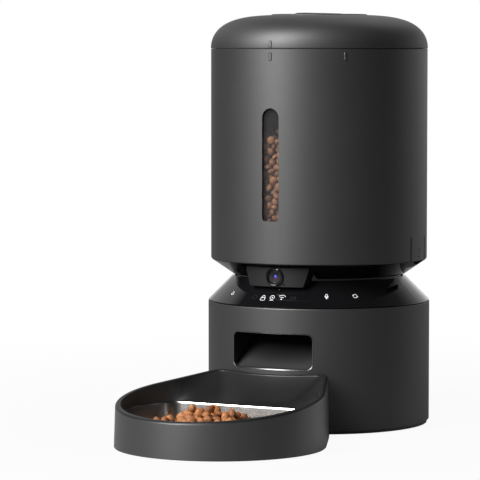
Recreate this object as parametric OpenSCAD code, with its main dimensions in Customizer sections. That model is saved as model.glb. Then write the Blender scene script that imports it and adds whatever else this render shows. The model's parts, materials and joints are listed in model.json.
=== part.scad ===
// Pet feeder with camera: a lift-off food tank with a twist lid and a metering rotor, a base
// with a touch panel, a camera and a chute, and a pull-out tray with a lift-out steel bowl.
// Millimetres. The origin is on the floor at the body's axis, the front faces -Y, up is +Z.
// Angles named "deg" on the body are measured from the front towards +X.

/* [Base] */
// Outer diameter of the base wall
base_d = 190; // [184:0.5:198]
// Height of the base wall's top edge
base_top_z = 106.2; // [104:0.1:109]
// Wall thickness of the base
base_wall = 2.6; // [2.2:0.1:3]
// Height of the black plinth's top edge
plinth_z = 4; // [3.6:0.1:4.6]
// How far the plinth stands back from the wall
plinth_inset = 1.8; // [1:0.1:2.4]
// How far the rubber foot ring stands below the plinth
foot_h = 1.2; // [0.8:0.1:1.6]
// Outer diameter of the rubber foot ring
foot_d = 159.6; // [158:0.2:160]
// Width of the rubber foot ring
foot_w = 4.2; // [3:0.1:4.4]

/* [Control panel] */
// Height of the sloping panel
panel_rise = 21.2; // [20:0.1:22.4]
// Diameter of the panel's upper edge at the waist
waist_d = 148; // [146:0.5:150]
// Thickness of the panel
panel_t = 2.5; // [2:0.1:3]
// Shadow line between the panel and the base wall
panel_line = 0.4; // [0.2:0.1:0.8]

/* [Tank] */
// Outer diameter of the tank
tank_d = 185.4; // [183:0.2:188]
// Wall thickness of the tank
tank_wall = 2.5; // [2:0.1:3]
// Height of the tank wall's lower edge
tank_low_z = 141.8; // [141:0.1:143]
// Height of the seam between tank and lid
seam_z = 321.5; // [300:0.5:345]
// Width of the seam between tank and lid
seam_gap = 0.4; // [0.3:0.1:1.2]
// Outer diameter of the neck that plugs into the base
neck_d = 142; // [140:0.5:143]
// Diameter of the glossy cone's lower edge
cone_low_d = 148; // [146:0.5:150]
// Height of the glossy cone's lower edge
cone_low_z = 129.3; // [128.8:0.1:130]

/* [Window] */
// Width of the window slot
window_w = 15.4; // [12:0.2:20]
// Lower end of the window slot
window_low_z = 178; // [176:0.5:190]
// Upper end of the window slot
window_high_z = 272; // [240:1:290]
// Corner radius at the slot's lower end
window_corner = 3; // [1:0.5:5]

/* [Lid] */
// Height of the lid's crown above the seam
lid_rise = 28.8; // [26:0.2:33]
// Wall thickness of the lid
lid_wall = 2.4; // [2:0.1:3]
// Diameter of the round finger recess
dish_d = 79; // [78:1:96]
// Depth of the finger recess below the crown
dish_depth = 14; // [11:0.5:15]
// Height of the bead round the finger recess
dish_bead = 0.7; // [0.3:0.1:1.2]
// Length of the grip that stands in the recess
grip_len = 74; // [60:1:75]
// Width of the grip
grip_w = 19; // [13:0.5:20]
// How far the grip stands above the crown
grip_proud = 1.4; // [0:0.1:2]
// Angle that the lid turns to lock
twist_deg = 39; // [36:1:42]
// Width of each locking lug
lug_deg = 22; // [16:1:25]

/* [Release tabs] */
// Angle of each tab from the front
tab_at_deg = 92; // [85:0.5:98]
// Width of a tab
tab_w = 27.2; // [22:0.2:32]
// Height of a tab
tab_h = 21; // [17:0.5:25]
// Width of the slit at each side of a tab
tab_slit = 0.9; // [0.6:0.1:1.4]

/* [Chute] */
// Width of the chute's opening
chute_w = 74.5; // [66:0.5:80]
// Lower edge of the chute's opening
chute_low_z = 54.6; // [53:0.1:58]
// Upper edge of the chute's opening
chute_high_z = 84.9; // [80:0.1:90]
// Corner radius of the opening
chute_corner = 5.5; // [3:0.5:9]
// Slope of the chute's floor
chute_deg = 35.5; // [34:0.5:36]
// Thickness of the chute's rim in the opening
chute_rim = 0.6; // [0.4:0.1:1.2]

/* [Camera] */
// Radius of the pod's front face from the axis
pod_r = 84.4; // [82:0.2:88]
// Height of the pod's lower edge
pod_low_z = 122.5; // [121.5:0.1:123.2]
// Height of the pod's upper edge
pod_high_z = 140; // [139:0.1:140.2]
// Half-angle of the pod at its upper edge
pod_top_deg = 21; // [19:0.2:23]
// Half-angle of the pod at its lower edge
pod_low_deg = 17.5; // [15:0.2:18.5]
// Diameter of the lens bezel
lens_d = 16; // [14:0.2:16.4]
// Height of the lens axis
lens_z = 131.1; // [130.6:0.1:131.6]
// How far the bezel stands proud of the pod
lens_proud = 1.2; // [0.6:0.1:2]

/* [Metering rotor] */
// Inner diameter of the rotor chamber
chamber_d = 128; // [124:0.5:130]
// Height of the chamber's floor
chamber_floor_z = 109.5; // [109:0.1:110]
// Height of the rotor's vanes
vane_h = 26; // [22:0.5:27]
// Number of vanes
vanes = 6; // [4:1:8]
// Thickness of a vane
vane_t = 3; // [2:0.1:4]
// Half-angle of the outlet in the chamber's floor
outlet_deg = 28; // [22:1:30]
// Across-flats size of the drive hexagon
drive_af = 9.6; // [8:0.1:10.4]
// Radius of the drive coupling's journal
journal_r = 6; // [5.8:0.1:6.6]
// Radius of the motor's output shaft
shaft_r = 3; // [2.5:0.1:3.5]
// Radius of the gear head
head_r = 18.5; // [17.5:0.1:18.8]

/* [Tray] */
// Radius of the tray's round front
tray_r = 85.9; // [82:0.2:90]
// Distance from the axis to the centre of the round front
tray_y = 181.2; // [178:0.5:190]
// Angle at which each side narrows towards the base
tray_taper_deg = 23.5; // [18:0.5:25]
// Height of the rim at the back
rim_back_z = 51.5; // [48:0.5:53]
// Height of the rim at the front
rim_front_z = 30.2; // [30:0.2:33]
// Width of the rim
rim_w = 4.6; // [4:0.1:5]
// Radius of the rim's outer edge
rim_round = 2; // [1:0.1:2.4]
// How far the wall leans in from floor to rim
tray_lean = 1.1; // [0.4:0.1:1.6]
// Thickness of the tray's walls
tray_t = 2.4; // [2:0.1:2.8]
// Height of the tray's pads
pad_h = 0.8; // [0.6:0.1:1.2]

/* [Bowl] */
// Radius of the bowl's round front rim
bowl_r = 79.6; // [75:0.2:79.8]
// Distance from the round front's centre to the straight back edge
bowl_back = 44; // [36:0.5:48]
// Height of the bowl's rim
bowl_rim_z = 29.7; // [29:0.1:29.9]
// Depth of the bowl
bowl_depth = 23.8; // [18:0.2:24.2]
// Width of the bowl's flat rim
bowl_flange = 3.2; // [2.6:0.1:4]
// How far the bowl's wall leans in from rim to foot
bowl_lean = 1.6; // [0.8:0.1:3]
// Radius between the bowl's wall and its floor
bowl_foot_r = 8; // [5:0.5:11]
// Thickness of the steel
steel_t = 0.9; // [0.7:0.1:1.1]

/* [Fits] */
// Radial clearance of a running fit
running_gap = 0.06; // [0.04:0.01:0.09]
// Radial clearance between the tank's neck and its seat
neck_gap = 0.6; // [0.4:0.1:0.8]
// Clearance between casing pieces of one body
part_gap = 0.4; // [0.3:0.05:0.5]
// Clearance between pieces that move past each other
move_gap = 0.4; // [0.35:0.05:0.6]
// Gap between the tray and the base wall
tray_gap = 0.6; // [0.4:0.1:1]

/* [Hidden] */
$fn = 96;
base_r = base_d / 2;
base_in = base_r - base_wall;
waist_r = waist_d / 2;
panel_top_z = base_top_z + panel_rise;
panel_k = (base_r - waist_r) / panel_rise;
panel_flat = panel_t * sqrt(1 + panel_k * panel_k);
panel_edge = 1.6;
tank_r = tank_d / 2;
tank_in = tank_r - tank_wall;
neck_r = neck_d / 2;
cone_r = cone_low_d / 2;
seat_r = neck_r + neck_gap;
seat_floor_z = chamber_floor_z - 5.5;
seat_t = 2.5;
chamber_r = chamber_d / 2;
tank_top_z = seam_z - seam_gap / 2;
lid_low_z = seam_z + seam_gap / 2;
lid_r = tank_r + 0.2;
crown_z = seam_z + lid_rise;
mouth_r = tank_r - 3.7;
mouth_z = seam_z + 6.5;
dish_r = dish_d / 2;
grip_z = crown_z + grip_proud;
dish_z = crown_z - dish_depth;
tab_top_z = tank_low_z + tab_h;
body_grey = [0.23, 0.23, 0.24];
gloss_black = [0.05, 0.05, 0.06];
dark = [0.12, 0.12, 0.13];
white_abs = [0.85, 0.85, 0.83];
steel = [0.8, 0.81, 0.82];
rubber = [0.1, 0.1, 0.1];
green = [0.1, 0.32, 0.2];

// The radius of the panel's outer face at a height, and the height of its inner face at a radius
function panel_r(z) = base_r - (z - base_top_z) * panel_k;
function panel_in_z(r) = base_top_z + (base_r - panel_flat - r) / panel_k;
// The height of the cone's outer face at a radius
cone_top_r = tank_r - 0.9;
cone_top_z = tank_low_z - 0.3;
cone_slope = (cone_top_z - cone_low_z) / (cone_top_r - cone_r);
cone_drop = 2.4 * sqrt(1 + cone_slope * cone_slope);
function cone_z(r) = cone_low_z + (r - cone_r) * cone_slope;
function dir(a) = [sin(a), -cos(a)];

// A polygon's points for a rectangle with round corners
function round_box(w, h, r, n = 8) = [
  for (c = [0 : 3], k = [0 : n])
    let (
      a = c * 90 + k * 90 / n,
      x = (c == 0 || c == 3 ? 1 : -1) * (w / 2 - r),
      y = (c < 2 ? 1 : -1) * (h / 2 - r)
    )
    [x + r * cos(a), y + r * sin(a)]
];

module turned(points) {
  rotate_extrude()
    polygon(points);
}

module ring(ro, ri, z0, z1) {
  turned([[ri, z0], [ro, z0], [ro, z1], [ri, z1]]);
}

// A pie-shaped block between two angles from the front
module sector(a0, a1, r, z0, z1) {
  n = ceil(abs(a1 - a0) / 15);
  translate([0, 0, z0])
    linear_extrude(height = z1 - z0)
      polygon(concat(
        [[0, 0]],
        [for (k = [0 : n]) 1.03 * r * dir(a0 + (a1 - a0) * k / n)]
      ));
}

// A ring cut to the part between two angles
module arc_block(ro, ri, a0, a1, z0, z1) {
  intersection() {
    ring(ro, ri, z0, z1);
    sector(a0, a1, ro, z0 - 1, z1 + 1);
  }
}

// Extrudes a drawing in X and Z along Y, from y0 back to y1
module along_y(y0, y1) {
  translate([0, y1, 0])
    rotate([90, 0, 0])
      linear_extrude(height = y1 - y0)
        children();
}

// Extrudes a drawing in Y and Z along X, centred
module along_x(w) {
  translate([-w / 2, 0, 0])
    rotate([90, 0, 90])
      linear_extrude(height = w)
        children();
}

module chute_shape(grow) {
  translate([0, (chute_low_z + chute_high_z) / 2])
    polygon(round_box(
      chute_w + 2 * grow,
      chute_high_z - chute_low_z + 2 * grow,
      chute_corner + grow
    ));
}

post_r = base_in - 7;
module at_posts() {
  for (a = [40, 140, 220, 320])
    rotate(a)
      translate([0, -post_r, 0])
        children();
}

wall_top_z = base_top_z - panel_line;
module base_shell() {
  color(body_grey)
    difference() {
      union() {
        turned([
          [base_in, plinth_z],
          [base_r - 0.4, plinth_z],
          [base_r, plinth_z + 0.4],
          [base_r, wall_top_z - 0.7],
          [base_r - 0.2, wall_top_z - 0.2],
          [base_r - 0.7, wall_top_z],
          [base_in, wall_top_z]
        ]);
        at_posts() {
          translate([0, 0, plinth_z + 4])
            cylinder(h = 30, r = 4);
          translate([-1.5, -8, plinth_z + 4])
            cube([3, 6, 30]);
        }
      }
      at_posts()
        translate([0, 0, plinth_z + 3])
          cylinder(h = 16, r = 1.4);
      along_y(-base_r - 5, -base_r + 25)
        chute_shape(0.25);
      along_y(base_r - 12, base_r + 5)
        translate([0, 18.9])
          polygon(round_box(13, 7.4, 3.6));
      for (x = [-24, 24])
        translate([x - 6.5, -base_r - 2, 11.4])
          cube([13, 12, 5.2]);
    }
}

battery_w = 68;
battery_l = 108;
battery_y = -8;
speaker_at = [63, 6];
module base_plate() {
  color(gloss_black)
    difference() {
      union() {
        ring(base_r - plinth_inset, 0, foot_h, plinth_z);
        ring(base_in - part_gap, base_in - part_gap - 2.5, plinth_z - 0.5, plinth_z + 3);
        at_posts()
          translate([0, 0, foot_h])
            cylinder(h = plinth_z + 3.6 - foot_h, r = 5);
      }
      at_posts() {
        translate([0, 0, foot_h - 1])
          cylinder(h = 12, r = 1.8);
        translate([0, 0, foot_h - 1])
          cylinder(h = 3.4, r = 3.2);
      }
      translate([0, battery_y, foot_h - 1])
        linear_extrude(height = 8)
          polygon(round_box(battery_w + 4, battery_l + 4, 4));
      ring(foot_d / 2 + 0.05, foot_d / 2 - foot_w - 0.05, foot_h - 1, foot_h + 0.8);
      for (k = [0 : 18])
        let (
          ringed = k == 0 ? 0 : k < 7 ? 6 : 11.5,
          a = k < 7 ? k * 60 : k * 30
        )
        translate([speaker_at[0] + ringed * cos(a), speaker_at[1] + ringed * sin(a), 0])
          cylinder(h = 9, r = 1.3);
    }
}

module foot_ring() {
  color(rubber)
    ring(foot_d / 2, foot_d / 2 - foot_w, 0, foot_h + 0.75);
}

module base_screws() {
  color(steel)
    at_posts() {
      translate([0, 0, foot_h + 0.7])
        cylinder(h = 1.7, r = 2.9);
      translate([0, 0, foot_h + 1.2])
        cylinder(h = 16, r = 1.35);
    }
}

lip_low_z = base_top_z - 5.5;
module control_panel() {
  lip = base_in - part_gap;
  color(gloss_black)
    difference() {
      turned([
        [base_r - 1.1, base_top_z],
        [base_r - 0.75, base_top_z + 0.12],
        [base_r - 0.58, base_top_z + 0.36],
        [base_r - 0.62, base_top_z + 0.6],
        [panel_r(base_top_z + 0.85), base_top_z + 0.85],
        [waist_r, panel_top_z],
        [waist_r - panel_edge, panel_top_z],
        [waist_r - panel_edge, panel_in_z(waist_r - panel_edge)],
        [lip - 2.2, panel_in_z(lip - 2.2)],
        [lip - 2.2, lip_low_z],
        [lip, lip_low_z],
        [lip, base_top_z]
      ]);
      for (x = [-pod_peg_x, pod_peg_x])
        translate([x, -pod_peg_y, base_top_z])
          cylinder(h = 40, r = pod_peg_r + 0.1);
    }
}

// The touch film lies on the panel's inside behind the icons
module touch_film() {
  film_t = 0.5;
  off = base_r - panel_flat - 0.2;
  low = (base_r - waist_r) * 4 / 21;
  high = (base_r - waist_r) * 11 / 21;
  color([0.6, 0.45, 0.2])
    intersection() {
      turned([
        [off - low, base_top_z + low / panel_k],
        [off - low - film_t, base_top_z + low / panel_k],
        [off - high - film_t, base_top_z + high / panel_k],
        [off - high, base_top_z + high / panel_k]
      ]);
      sector(-40, 56, base_r, base_top_z, panel_top_z);
    }
}

module tank_seat() {
  out = seat_r + 2;
  color(dark)
    difference() {
      union() {
        turned([
          [journal_r + 3, seat_floor_z - seat_t],
          [out, seat_floor_z - seat_t],
          [out, panel_in_z(out) - 0.1],
          [seat_r, panel_in_z(out) - 0.1],
          [seat_r, seat_floor_z],
          [journal_r + 3, seat_floor_z]
        ]);
        ring(head_r - 0.5, head_r - 6.5, seat_floor_z - seat_t - 2.4, seat_floor_z - seat_t + 0.5);
      }
      difference() {
        sector(-outlet_deg - 3, outlet_deg + 3, chamber_r - 2, seat_floor_z - 9, seat_floor_z + 1);
        translate([0, 0, seat_floor_z - 10])
          cylinder(h = 20, r = 22);
      }
      at_motor_screws()
        translate([0, 0, seat_floor_z - 12])
          cylinder(h = 20, r = 1.7);
    }
}

module at_motor_screws() {
  for (a = [60, 180, 300])
    rotate(a)
      translate([0, -head_r + 3.4, 0])
        children();
}

module shaft_bush() {
  color([0.75, 0.6, 0.3])
    ring(journal_r + 2.95, journal_r + running_gap, seat_floor_z - seat_t, seat_floor_z);
}

head_top_z = seat_floor_z - seat_t - 2.4;
module gear_head() {
  color(steel)
    difference() {
      ring(head_r, 0, head_top_z - 26, head_top_z);
      translate([0, 0, head_top_z - 12])
        cylinder(h = 13, r = shaft_r + running_gap);
      at_motor_screws()
        translate([0, 0, head_top_z - 9])
          cylinder(h = 10, r = 1.55);
    }
}

module motor_can() {
  color([0.55, 0.56, 0.58])
    difference() {
      union() {
        ring(14, 0, head_top_z - 51, head_top_z - 26.05);
        ring(5, 0, head_top_z - 53, head_top_z - 51);
        for (x = [-7.5, 7.5])
          translate([x - 1.5, -0.3, head_top_z - 53.5])
            cube([3, 0.6, 3]);
      }
      for (a = [0, 180])
        rotate(a)
          translate([9.5, -1, head_top_z - 51.5])
            cube([2, 2, 1.5]);
    }
}

module motor_screws() {
  color(steel)
    at_motor_screws() {
      translate([0, 0, seat_floor_z])
        cylinder(h = 1.8, r = 2.8);
      translate([0, 0, head_top_z - 8])
        cylinder(h = seat_floor_z - head_top_z + 8.5, r = 1.5);
    }
}

module output_shaft() {
  color(steel)
    translate([0, 0, head_top_z - 11.8])
      cylinder(h = 25, r = shaft_r);
}

dog_top_z = seat_floor_z + 17;
module drive_coupling() {
  color(white_abs)
    difference() {
      union() {
        ring(journal_r, 0, seat_floor_z - seat_t - 1.5, seat_floor_z + 0.4);
        ring(journal_r + 1.6, 0, seat_floor_z + 0.3, seat_floor_z + 1.6);
        intersection() {
          translate([0, 0, seat_floor_z + 0.5])
            cylinder(h = 16.5, r = drive_af / 2 / cos(30), $fn = 6);
          turned([
            [0, seat_floor_z],
            [8, seat_floor_z],
            [8, dog_top_z - 4],
            [4, dog_top_z],
            [0, dog_top_z]
          ]);
        }
      }
      translate([0, 0, seat_floor_z - 10])
        cylinder(h = head_top_z - 11.8 + 25 - seat_floor_z + 10.2, r = shaft_r + 0.02);
    }
}

module chute() {
  half = chute_w / 2;
  in = half - chute_rim;
  low = chute_low_z + chute_rim;
  back = head_r + 2;
  nose = sqrt(pow(base_in - part_gap, 2) - pow(half, 2));
  ceiling = min(seat_floor_z - seat_t, lip_low_z) - 0.2;
  top = min(ceiling, low + (nose - back) * tan(chute_deg));
  color(dark) {
    intersection() {
      translate([0, 0, 40])
        cylinder(h = 80, r = base_in - part_gap);
      union() {
        along_x(2 * half + 1.6)
          polygon([
            [-base_r, low - 2.4],
            [-base_r, low],
            [-nose, low],
            [-back, top],
            [-back, top - 2.4],
            [-nose, low - 2.4]
          ]);
        for (s = [-1, 1])
          translate([s * (in + half + 0.8) / 2, 0, 0])
            along_x(half + 0.8 - in)
              polygon([
                [-base_r, low - 2.4],
                [-base_r, ceiling],
                [-back, ceiling],
                [-back, top - 2.4],
                [-nose, low - 2.4]
              ]);
      }
    }
    intersection() {
      translate([0, 0, 40])
        cylinder(h = 80, r = base_r - 0.1);
      difference() {
        along_y(-base_r - 5, -base_r + 14)
          chute_shape(0);
        along_y(-base_r - 6, -base_r + 15)
          chute_shape(-chute_rim);
      }
    }
  }
}

module chute_sensors() {
  color(dark)
    for (s = [-1, 1])
      translate([s * (chute_w / 2 + 0.85 + 3), -64, 84])
        cube([6, 10, 8], center = true);
}

pod_peg_x = 17;
pod_peg_y = 74;
pod_peg_r = 1.5;
pod_in = waist_r - 0.9;
module pod_outline(shrink) {
  top = pod_r * sin(pod_top_deg) - shrink;
  low = pod_r * sin(pod_low_deg) - shrink;
  z1 = pod_high_z - shrink;
  z0 = pod_low_z + shrink;
  rc = 3;
  polygon(concat(
    [[-top, z1], [top, z1]],
    [for (a = [0 : 15 : 75]) [low - rc + rc * cos(a) + 0.2, z0 + rc - rc * sin(a)]],
    [for (a = [75 : -15 : 0]) [-low + rc - rc * cos(a) - 0.2, z0 + rc - rc * sin(a)]]
  ));
}

module camera_pod() {
  color(dark)
    difference() {
      union() {
        intersection() {
          turned([
            [pod_in, panel_top_z + 0.1],
            [pod_in, pod_high_z],
            [pod_r - 0.8, pod_high_z],
            [pod_r, pod_high_z - 0.8],
            [pod_r, pod_low_z + 0.6],
            [pod_r - 0.6, pod_low_z],
            [panel_r(pod_low_z) + 0.1, pod_low_z],
            [waist_r + 0.1, panel_top_z + 0.1]
          ]);
          along_y(-pod_r - 5, -40)
            pod_outline(0);
        }
        for (x = [-pod_peg_x, pod_peg_x])
          translate([x, -pod_peg_y, panel_top_z - 9])
            cylinder(h = 10.5, r = pod_peg_r);
      }
      intersection() {
        ring(pod_r - 2.4, pod_in - 1, panel_top_z + 2, pod_high_z - 2);
        along_y(-pod_r - 5, -40)
          pod_outline(2.4);
      }
      along_y(-pod_r - 5, -pod_r + 3.2)
        translate([0, lens_z])
          circle(r = lens_d / 2 + 0.05);
      along_y(-pod_r - 5, -pod_in + 3)
        translate([0, lens_z])
          circle(r = 5.6);
      along_y(-pod_r - 5, -pod_r + 4)
        translate([8.6, lens_z - 6])
          circle(r = 0.7);
    }
}

module pod_cover() {
  color(dark)
    intersection() {
      ring(pod_in + 1.4, pod_in + 0.1, panel_top_z + 2.1, pod_high_z - 2.1);
      along_y(-pod_r - 5, -40)
        pod_outline(2.6);
    }
}

module lens_bezel() {
  color(gloss_black)
    difference() {
      along_y(-pod_r - lens_proud, -pod_r + 3.1)
        translate([0, lens_z])
          circle(r = lens_d / 2);
      translate([0, -pod_r - lens_proud - 0.01, lens_z])
        rotate([-90, 0, 0])
          cylinder(h = 1.6, r1 = lens_d / 2 - 1, r2 = lens_d / 2 - 2);
      along_y(-pod_r - 5, -pod_r + 4)
        translate([0, lens_z])
          circle(r = lens_d / 2 - 2.4);
    }
}

module lens_glass() {
  r = lens_d / 2 - 2.45;
  color([0.1, 0.1, 0.25])
    intersection() {
      along_y(-pod_r - 2, -pod_r + 2.6)
        translate([0, lens_z])
          circle(r = r);
      translate([0, -pod_r - 0.3 + r * 1.6, lens_z])
        sphere(r = r * 1.6);
    }
}

module lens_barrel() {
  color(dark)
    along_y(-pod_r + 2.65, -pod_r + 7.2)
      translate([0, lens_z])
        circle(r = 5.5);
}

module camera_board() {
  color(green)
    translate([-12, -pod_r + 7.25, panel_top_z + 2.2])
      cube([24, 1, pod_high_z - panel_top_z - 4.6]);
}

board_w = 56;
board_y0 = battery_y + battery_l / 2 + 4;
board_y1 = sqrt(pow(base_in - 4.8, 2) - pow(board_w / 2, 2));
module main_board() {
  color(green) {
    translate([-board_w / 2, board_y0, 13.4])
      cube([board_w, board_y1 - board_y0, 1.6]);
    translate([-board_w / 2 + 6, board_y0 + 4, 14.9])
      cube([18, board_y1 - board_y0 - 9, 3.2]);
    translate([6, board_y0 + 6, 14.9])
      cube([10, 10, 1.4]);
    translate([board_w / 2 - 10, board_y0 + 8, 14.9])
      cylinder(h = 12, r = 4);
    for (x = [-board_w / 2 + 4, board_w / 2 - 4], y = [board_y0 + 3, board_y1 - 3])
      translate([x, y, plinth_z])
        cylinder(h = 9.5, r = 2.4);
  }
}

module power_inlet() {
  color(steel)
    difference() {
      along_y(base_r - 14, base_r - 1.4)
        translate([0, 18.9])
          polygon(round_box(9.2, 3.4, 1.6));
      along_y(base_r - 10, base_r)
        translate([0, 18.9])
          difference() {
            polygon(round_box(8.4, 2.6, 1.25));
            square([6.6, 0.7], center = true);
          }
    }
  color(dark)
    translate([-4.2, base_r - 13.9, 15.05])
      cube([8.4, 8, 2.25]);
}

module speaker() {
  color(dark)
    translate([speaker_at[0], speaker_at[1], plinth_z + 0.1])
      turned([
        [0, 6],
        [6, 3],
        [14, 1.2],
        [14.5, 0],
        [17.5, 0],
        [17.5, 3.5],
        [9, 9],
        [9, 13],
        [0, 13]
      ]);
}

battery_top_z = 44;
module battery_box() {
  color(dark)
    translate([0, battery_y, 0])
      difference() {
        translate([0, 0, plinth_z + 0.1])
          linear_extrude(height = battery_top_z - plinth_z - 0.1)
            polygon(round_box(battery_w + 8, battery_l + 8, 5));
        translate([0, 0, plinth_z - 1])
          linear_extrude(height = battery_top_z - plinth_z - 1)
            polygon(round_box(battery_w, battery_l, 2));
        for (s = [-1, 1])
          translate([-7, s * (battery_l / 2 + 2) - 4, plinth_z - 1])
            cube([14, 8, 3.2]);
      }
}

module battery_contacts() {
  color(steel)
    for (s = [-1, 1], k = [-1, 0, 1])
      translate([s * (battery_w / 2 - 0.35), battery_y + k * 35, 23]) {
        cube([0.6, 17, 17], center = true);
        rotate([0, -s * 90, 0])
          cylinder(h = 3.2, r1 = 6, r2 = 3.2);
      }
}

module battery_cover() {
  color(gloss_black)
    difference() {
      union() {
        translate([0, battery_y, foot_h])
          linear_extrude(height = plinth_z - foot_h - 0.3)
            polygon(round_box(battery_w + 3.2, battery_l + 3.2, 3.6));
        translate([-6, battery_y - battery_l / 2 - 5.4, plinth_z + 0.3])
          cube([12, 9, 1.4]);
        translate([-6, battery_y - battery_l / 2 + 1, plinth_z - 1])
          cube([12, 2.6, 2]);
      }
      translate([0, battery_y + battery_l / 2 - 6, foot_h - 1])
        cylinder(h = 8, r = 1.8);
      translate([0, battery_y + battery_l / 2 - 6, foot_h - 1])
        cylinder(h = 2.2, r = 3.1);
      for (k = [-2 : 2])
        translate([-14, battery_y + 30 + k * 3, foot_h - 0.6])
          cube([28, 1.2, 1]);
    }
}

module cover_screw() {
  color(steel)
    translate([0, battery_y + battery_l / 2 - 6, 0]) {
      translate([0, 0, foot_h + 0.2])
        cylinder(h = 1, r = 2.8);
      translate([0, 0, foot_h + 0.6])
        cylinder(h = 8, r = 1.5);
    }
}

// The tank
module window_shape(grow) {
  w = window_w / 2 + grow;
  low = window_low_z - grow;
  rc = window_corner + grow;
  polygon(concat(
    [for (a = [0 : 10 : 180]) [w * cos(a), window_high_z - window_w / 2 + w * sin(a)]],
    [for (a = [0 : 18 : 90]) [-w + rc - rc * cos(a), low + rc - rc * sin(a)]],
    [for (a = [90 : -18 : 0]) [w - rc + rc * cos(a), low + rc - rc * sin(a)]]
  ));
}

module at_tabs() {
  for (s = [-1, 1])
    rotate(s * tab_at_deg)
      children();
}

module tank_shell() {
  color(body_grey)
    difference() {
      union() {
        turned([
          [tank_r - 0.9, tank_low_z],
          [tank_r, tank_low_z + 0.9],
          [tank_r, tank_top_z - 0.4],
          [tank_r - 0.4, tank_top_z],
          [mouth_r, tank_top_z],
          [mouth_r, mouth_z - 0.6],
          [mouth_r - 0.6, mouth_z],
          [mouth_r - 2.2, mouth_z],
          [mouth_r - 2.2, tank_top_z - 5],
          [tank_in, tank_top_z - 9],
          [tank_in, tank_low_z]
        ]);
        for (k = [0 : 3])
          arc_block(
            mouth_r + 1.1,
            mouth_r - 0.5,
            k * 90 + 45 + twist_deg - lug_deg / 2,
            k * 90 + 45 + twist_deg + lug_deg / 2,
            mouth_z - 3.2,
            mouth_z - 1
          );
      }
      along_y(-tank_r - 5, -tank_r + 20)
        window_shape(0);
      at_tabs()
        translate([-tab_w / 2 - tab_slit, -tank_r - 3, tank_low_z - 1])
          cube([tab_w + 2 * tab_slit, 12, tab_h + 1]);
    }
}

module window_pane() {
  color([0.5, 0.5, 0.5, 0.4]) {
    intersection() {
      ring(tank_in - 0.2, tank_in - 2, window_low_z - 8, window_high_z + 8);
      along_y(-tank_r - 5, -tank_r + 20)
        window_shape(5);
    }
    intersection() {
      ring(tank_in + 0.6, tank_in - 0.5, window_low_z - 8, window_high_z + 8);
      along_y(-tank_r - 5, -tank_r + 20)
        window_shape(-0.2);
    }
  }
}

module release_tab() {
  intersection() {
    union() {
      turned([
        [tank_r - 0.9, tank_low_z],
        [tank_r, tank_low_z + 0.9],
        [tank_r, tab_top_z - 0.35],
        [tank_in, tab_top_z - 0.35],
        [tank_in, tank_low_z + 6],
        [tank_in - 1.8, tank_low_z + 4],
        [tank_in - 1.8, tank_low_z + 1.5],
        [tank_in, tank_low_z]
      ]);
    }
    translate([-tab_w / 2, -tank_r - 3, tank_low_z - 1])
      cube([tab_w, 20, tab_h + 5]);
  }
}

module tab_right() {
  color(body_grey)
    rotate(tab_at_deg)
      release_tab();
}

module tab_left() {
  color(body_grey)
    rotate(-tab_at_deg)
      release_tab();
}

notch_r = pod_in - 0.8;
notch_w = 2 * (pod_r * sin(pod_top_deg) + 0.9);
module tank_collar() {
  spigot = tank_in - part_gap;
  low = seat_floor_z + 0.6;
  color(gloss_black)
    difference() {
      union() {
        turned([
          [neck_r, low],
          [neck_r, cone_low_z],
          [cone_r, cone_low_z],
          [cone_top_r, cone_top_z],
          [spigot, cone_top_z],
          [spigot, cone_top_z + 8],
          [spigot - 2.2, cone_top_z + 8],
          [spigot - 2.2, cone_z(spigot - 2.2) + cone_drop],
          [cone_r, cone_low_z + cone_drop],
          [neck_r - 2.4, cone_low_z + cone_drop],
          [neck_r - 2.4, low]
        ]);
        // walls round the camera pod's notch
        intersection() {
          turned([
            [neck_r - 1.2, cone_low_z + 0.8],
            [cone_r + 1, cone_z(cone_r + 1) + 1.2],
            [spigot - 1, cone_z(spigot - 1) + 1.2],
            [spigot - 1, cone_top_z + 1.6],
            [neck_r - 1.2, cone_top_z + 1.6]
          ]);
          translate([-notch_w / 2 - 2.4, -tank_r, cone_low_z - 2])
            cube([notch_w + 4.8, tank_r - 40, 30]);
        }
        // walls round the release tabs' pockets
        at_tabs()
          intersection() {
            turned([
              [tank_r - 12, cone_z(tank_r - 12) + 1.2],
              [spigot - 1, cone_z(spigot - 1) + 1.2],
              [spigot - 1, cone_top_z + 7],
              [tank_r - 12, cone_top_z + 7]
            ]);
            translate([-tab_w / 2 - 3.4, -tank_r - 2, cone_low_z])
              cube([tab_w + 6.8, 30, 30]);
          }
      }
      intersection() {
        ring(tank_r + 4, notch_r, cone_low_z - 12, cone_top_z - 0.6);
        translate([-notch_w / 2, -tank_r - 4, cone_low_z - 14])
          cube([notch_w, tank_r - 40, 40]);
      }
      at_tabs()
        translate([-tab_w / 2 - 1.4, -tank_r - 3, cone_low_z])
          cube([tab_w + 2.8, 11.4, 40]);
    }
}

funnel_z = window_low_z - 7;
chamber_wall = 2;
module hopper() {
  rim = tank_in - 0.3;
  low_z = chamber_floor_z + 39;
  color(dark)
    turned([
      [chamber_r, chamber_floor_z + 0.05],
      [chamber_r + chamber_wall, chamber_floor_z + 0.05],
      [chamber_r + chamber_wall, low_z - 1],
      [rim - 1, funnel_z - 2.4],
      [rim, funnel_z - 2.4],
      [rim, funnel_z],
      [rim - 1.6, funnel_z],
      [chamber_r, low_z]
    ]);
}

// The rotor's journal turns in the middle of the chamber's floor
module chamber_floor() {
  floor_t = 2.5;
  color(dark)
    difference() {
      ring(
        chamber_r + chamber_wall,
        9 + running_gap,
        chamber_floor_z - floor_t,
        chamber_floor_z
      );
      difference() {
        sector(-outlet_deg, outlet_deg, chamber_r - 4, chamber_floor_z - 4, chamber_floor_z + 1);
        translate([0, 0, chamber_floor_z - 6])
          cylinder(h = 12, r = 24);
      }
    }
}

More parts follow.
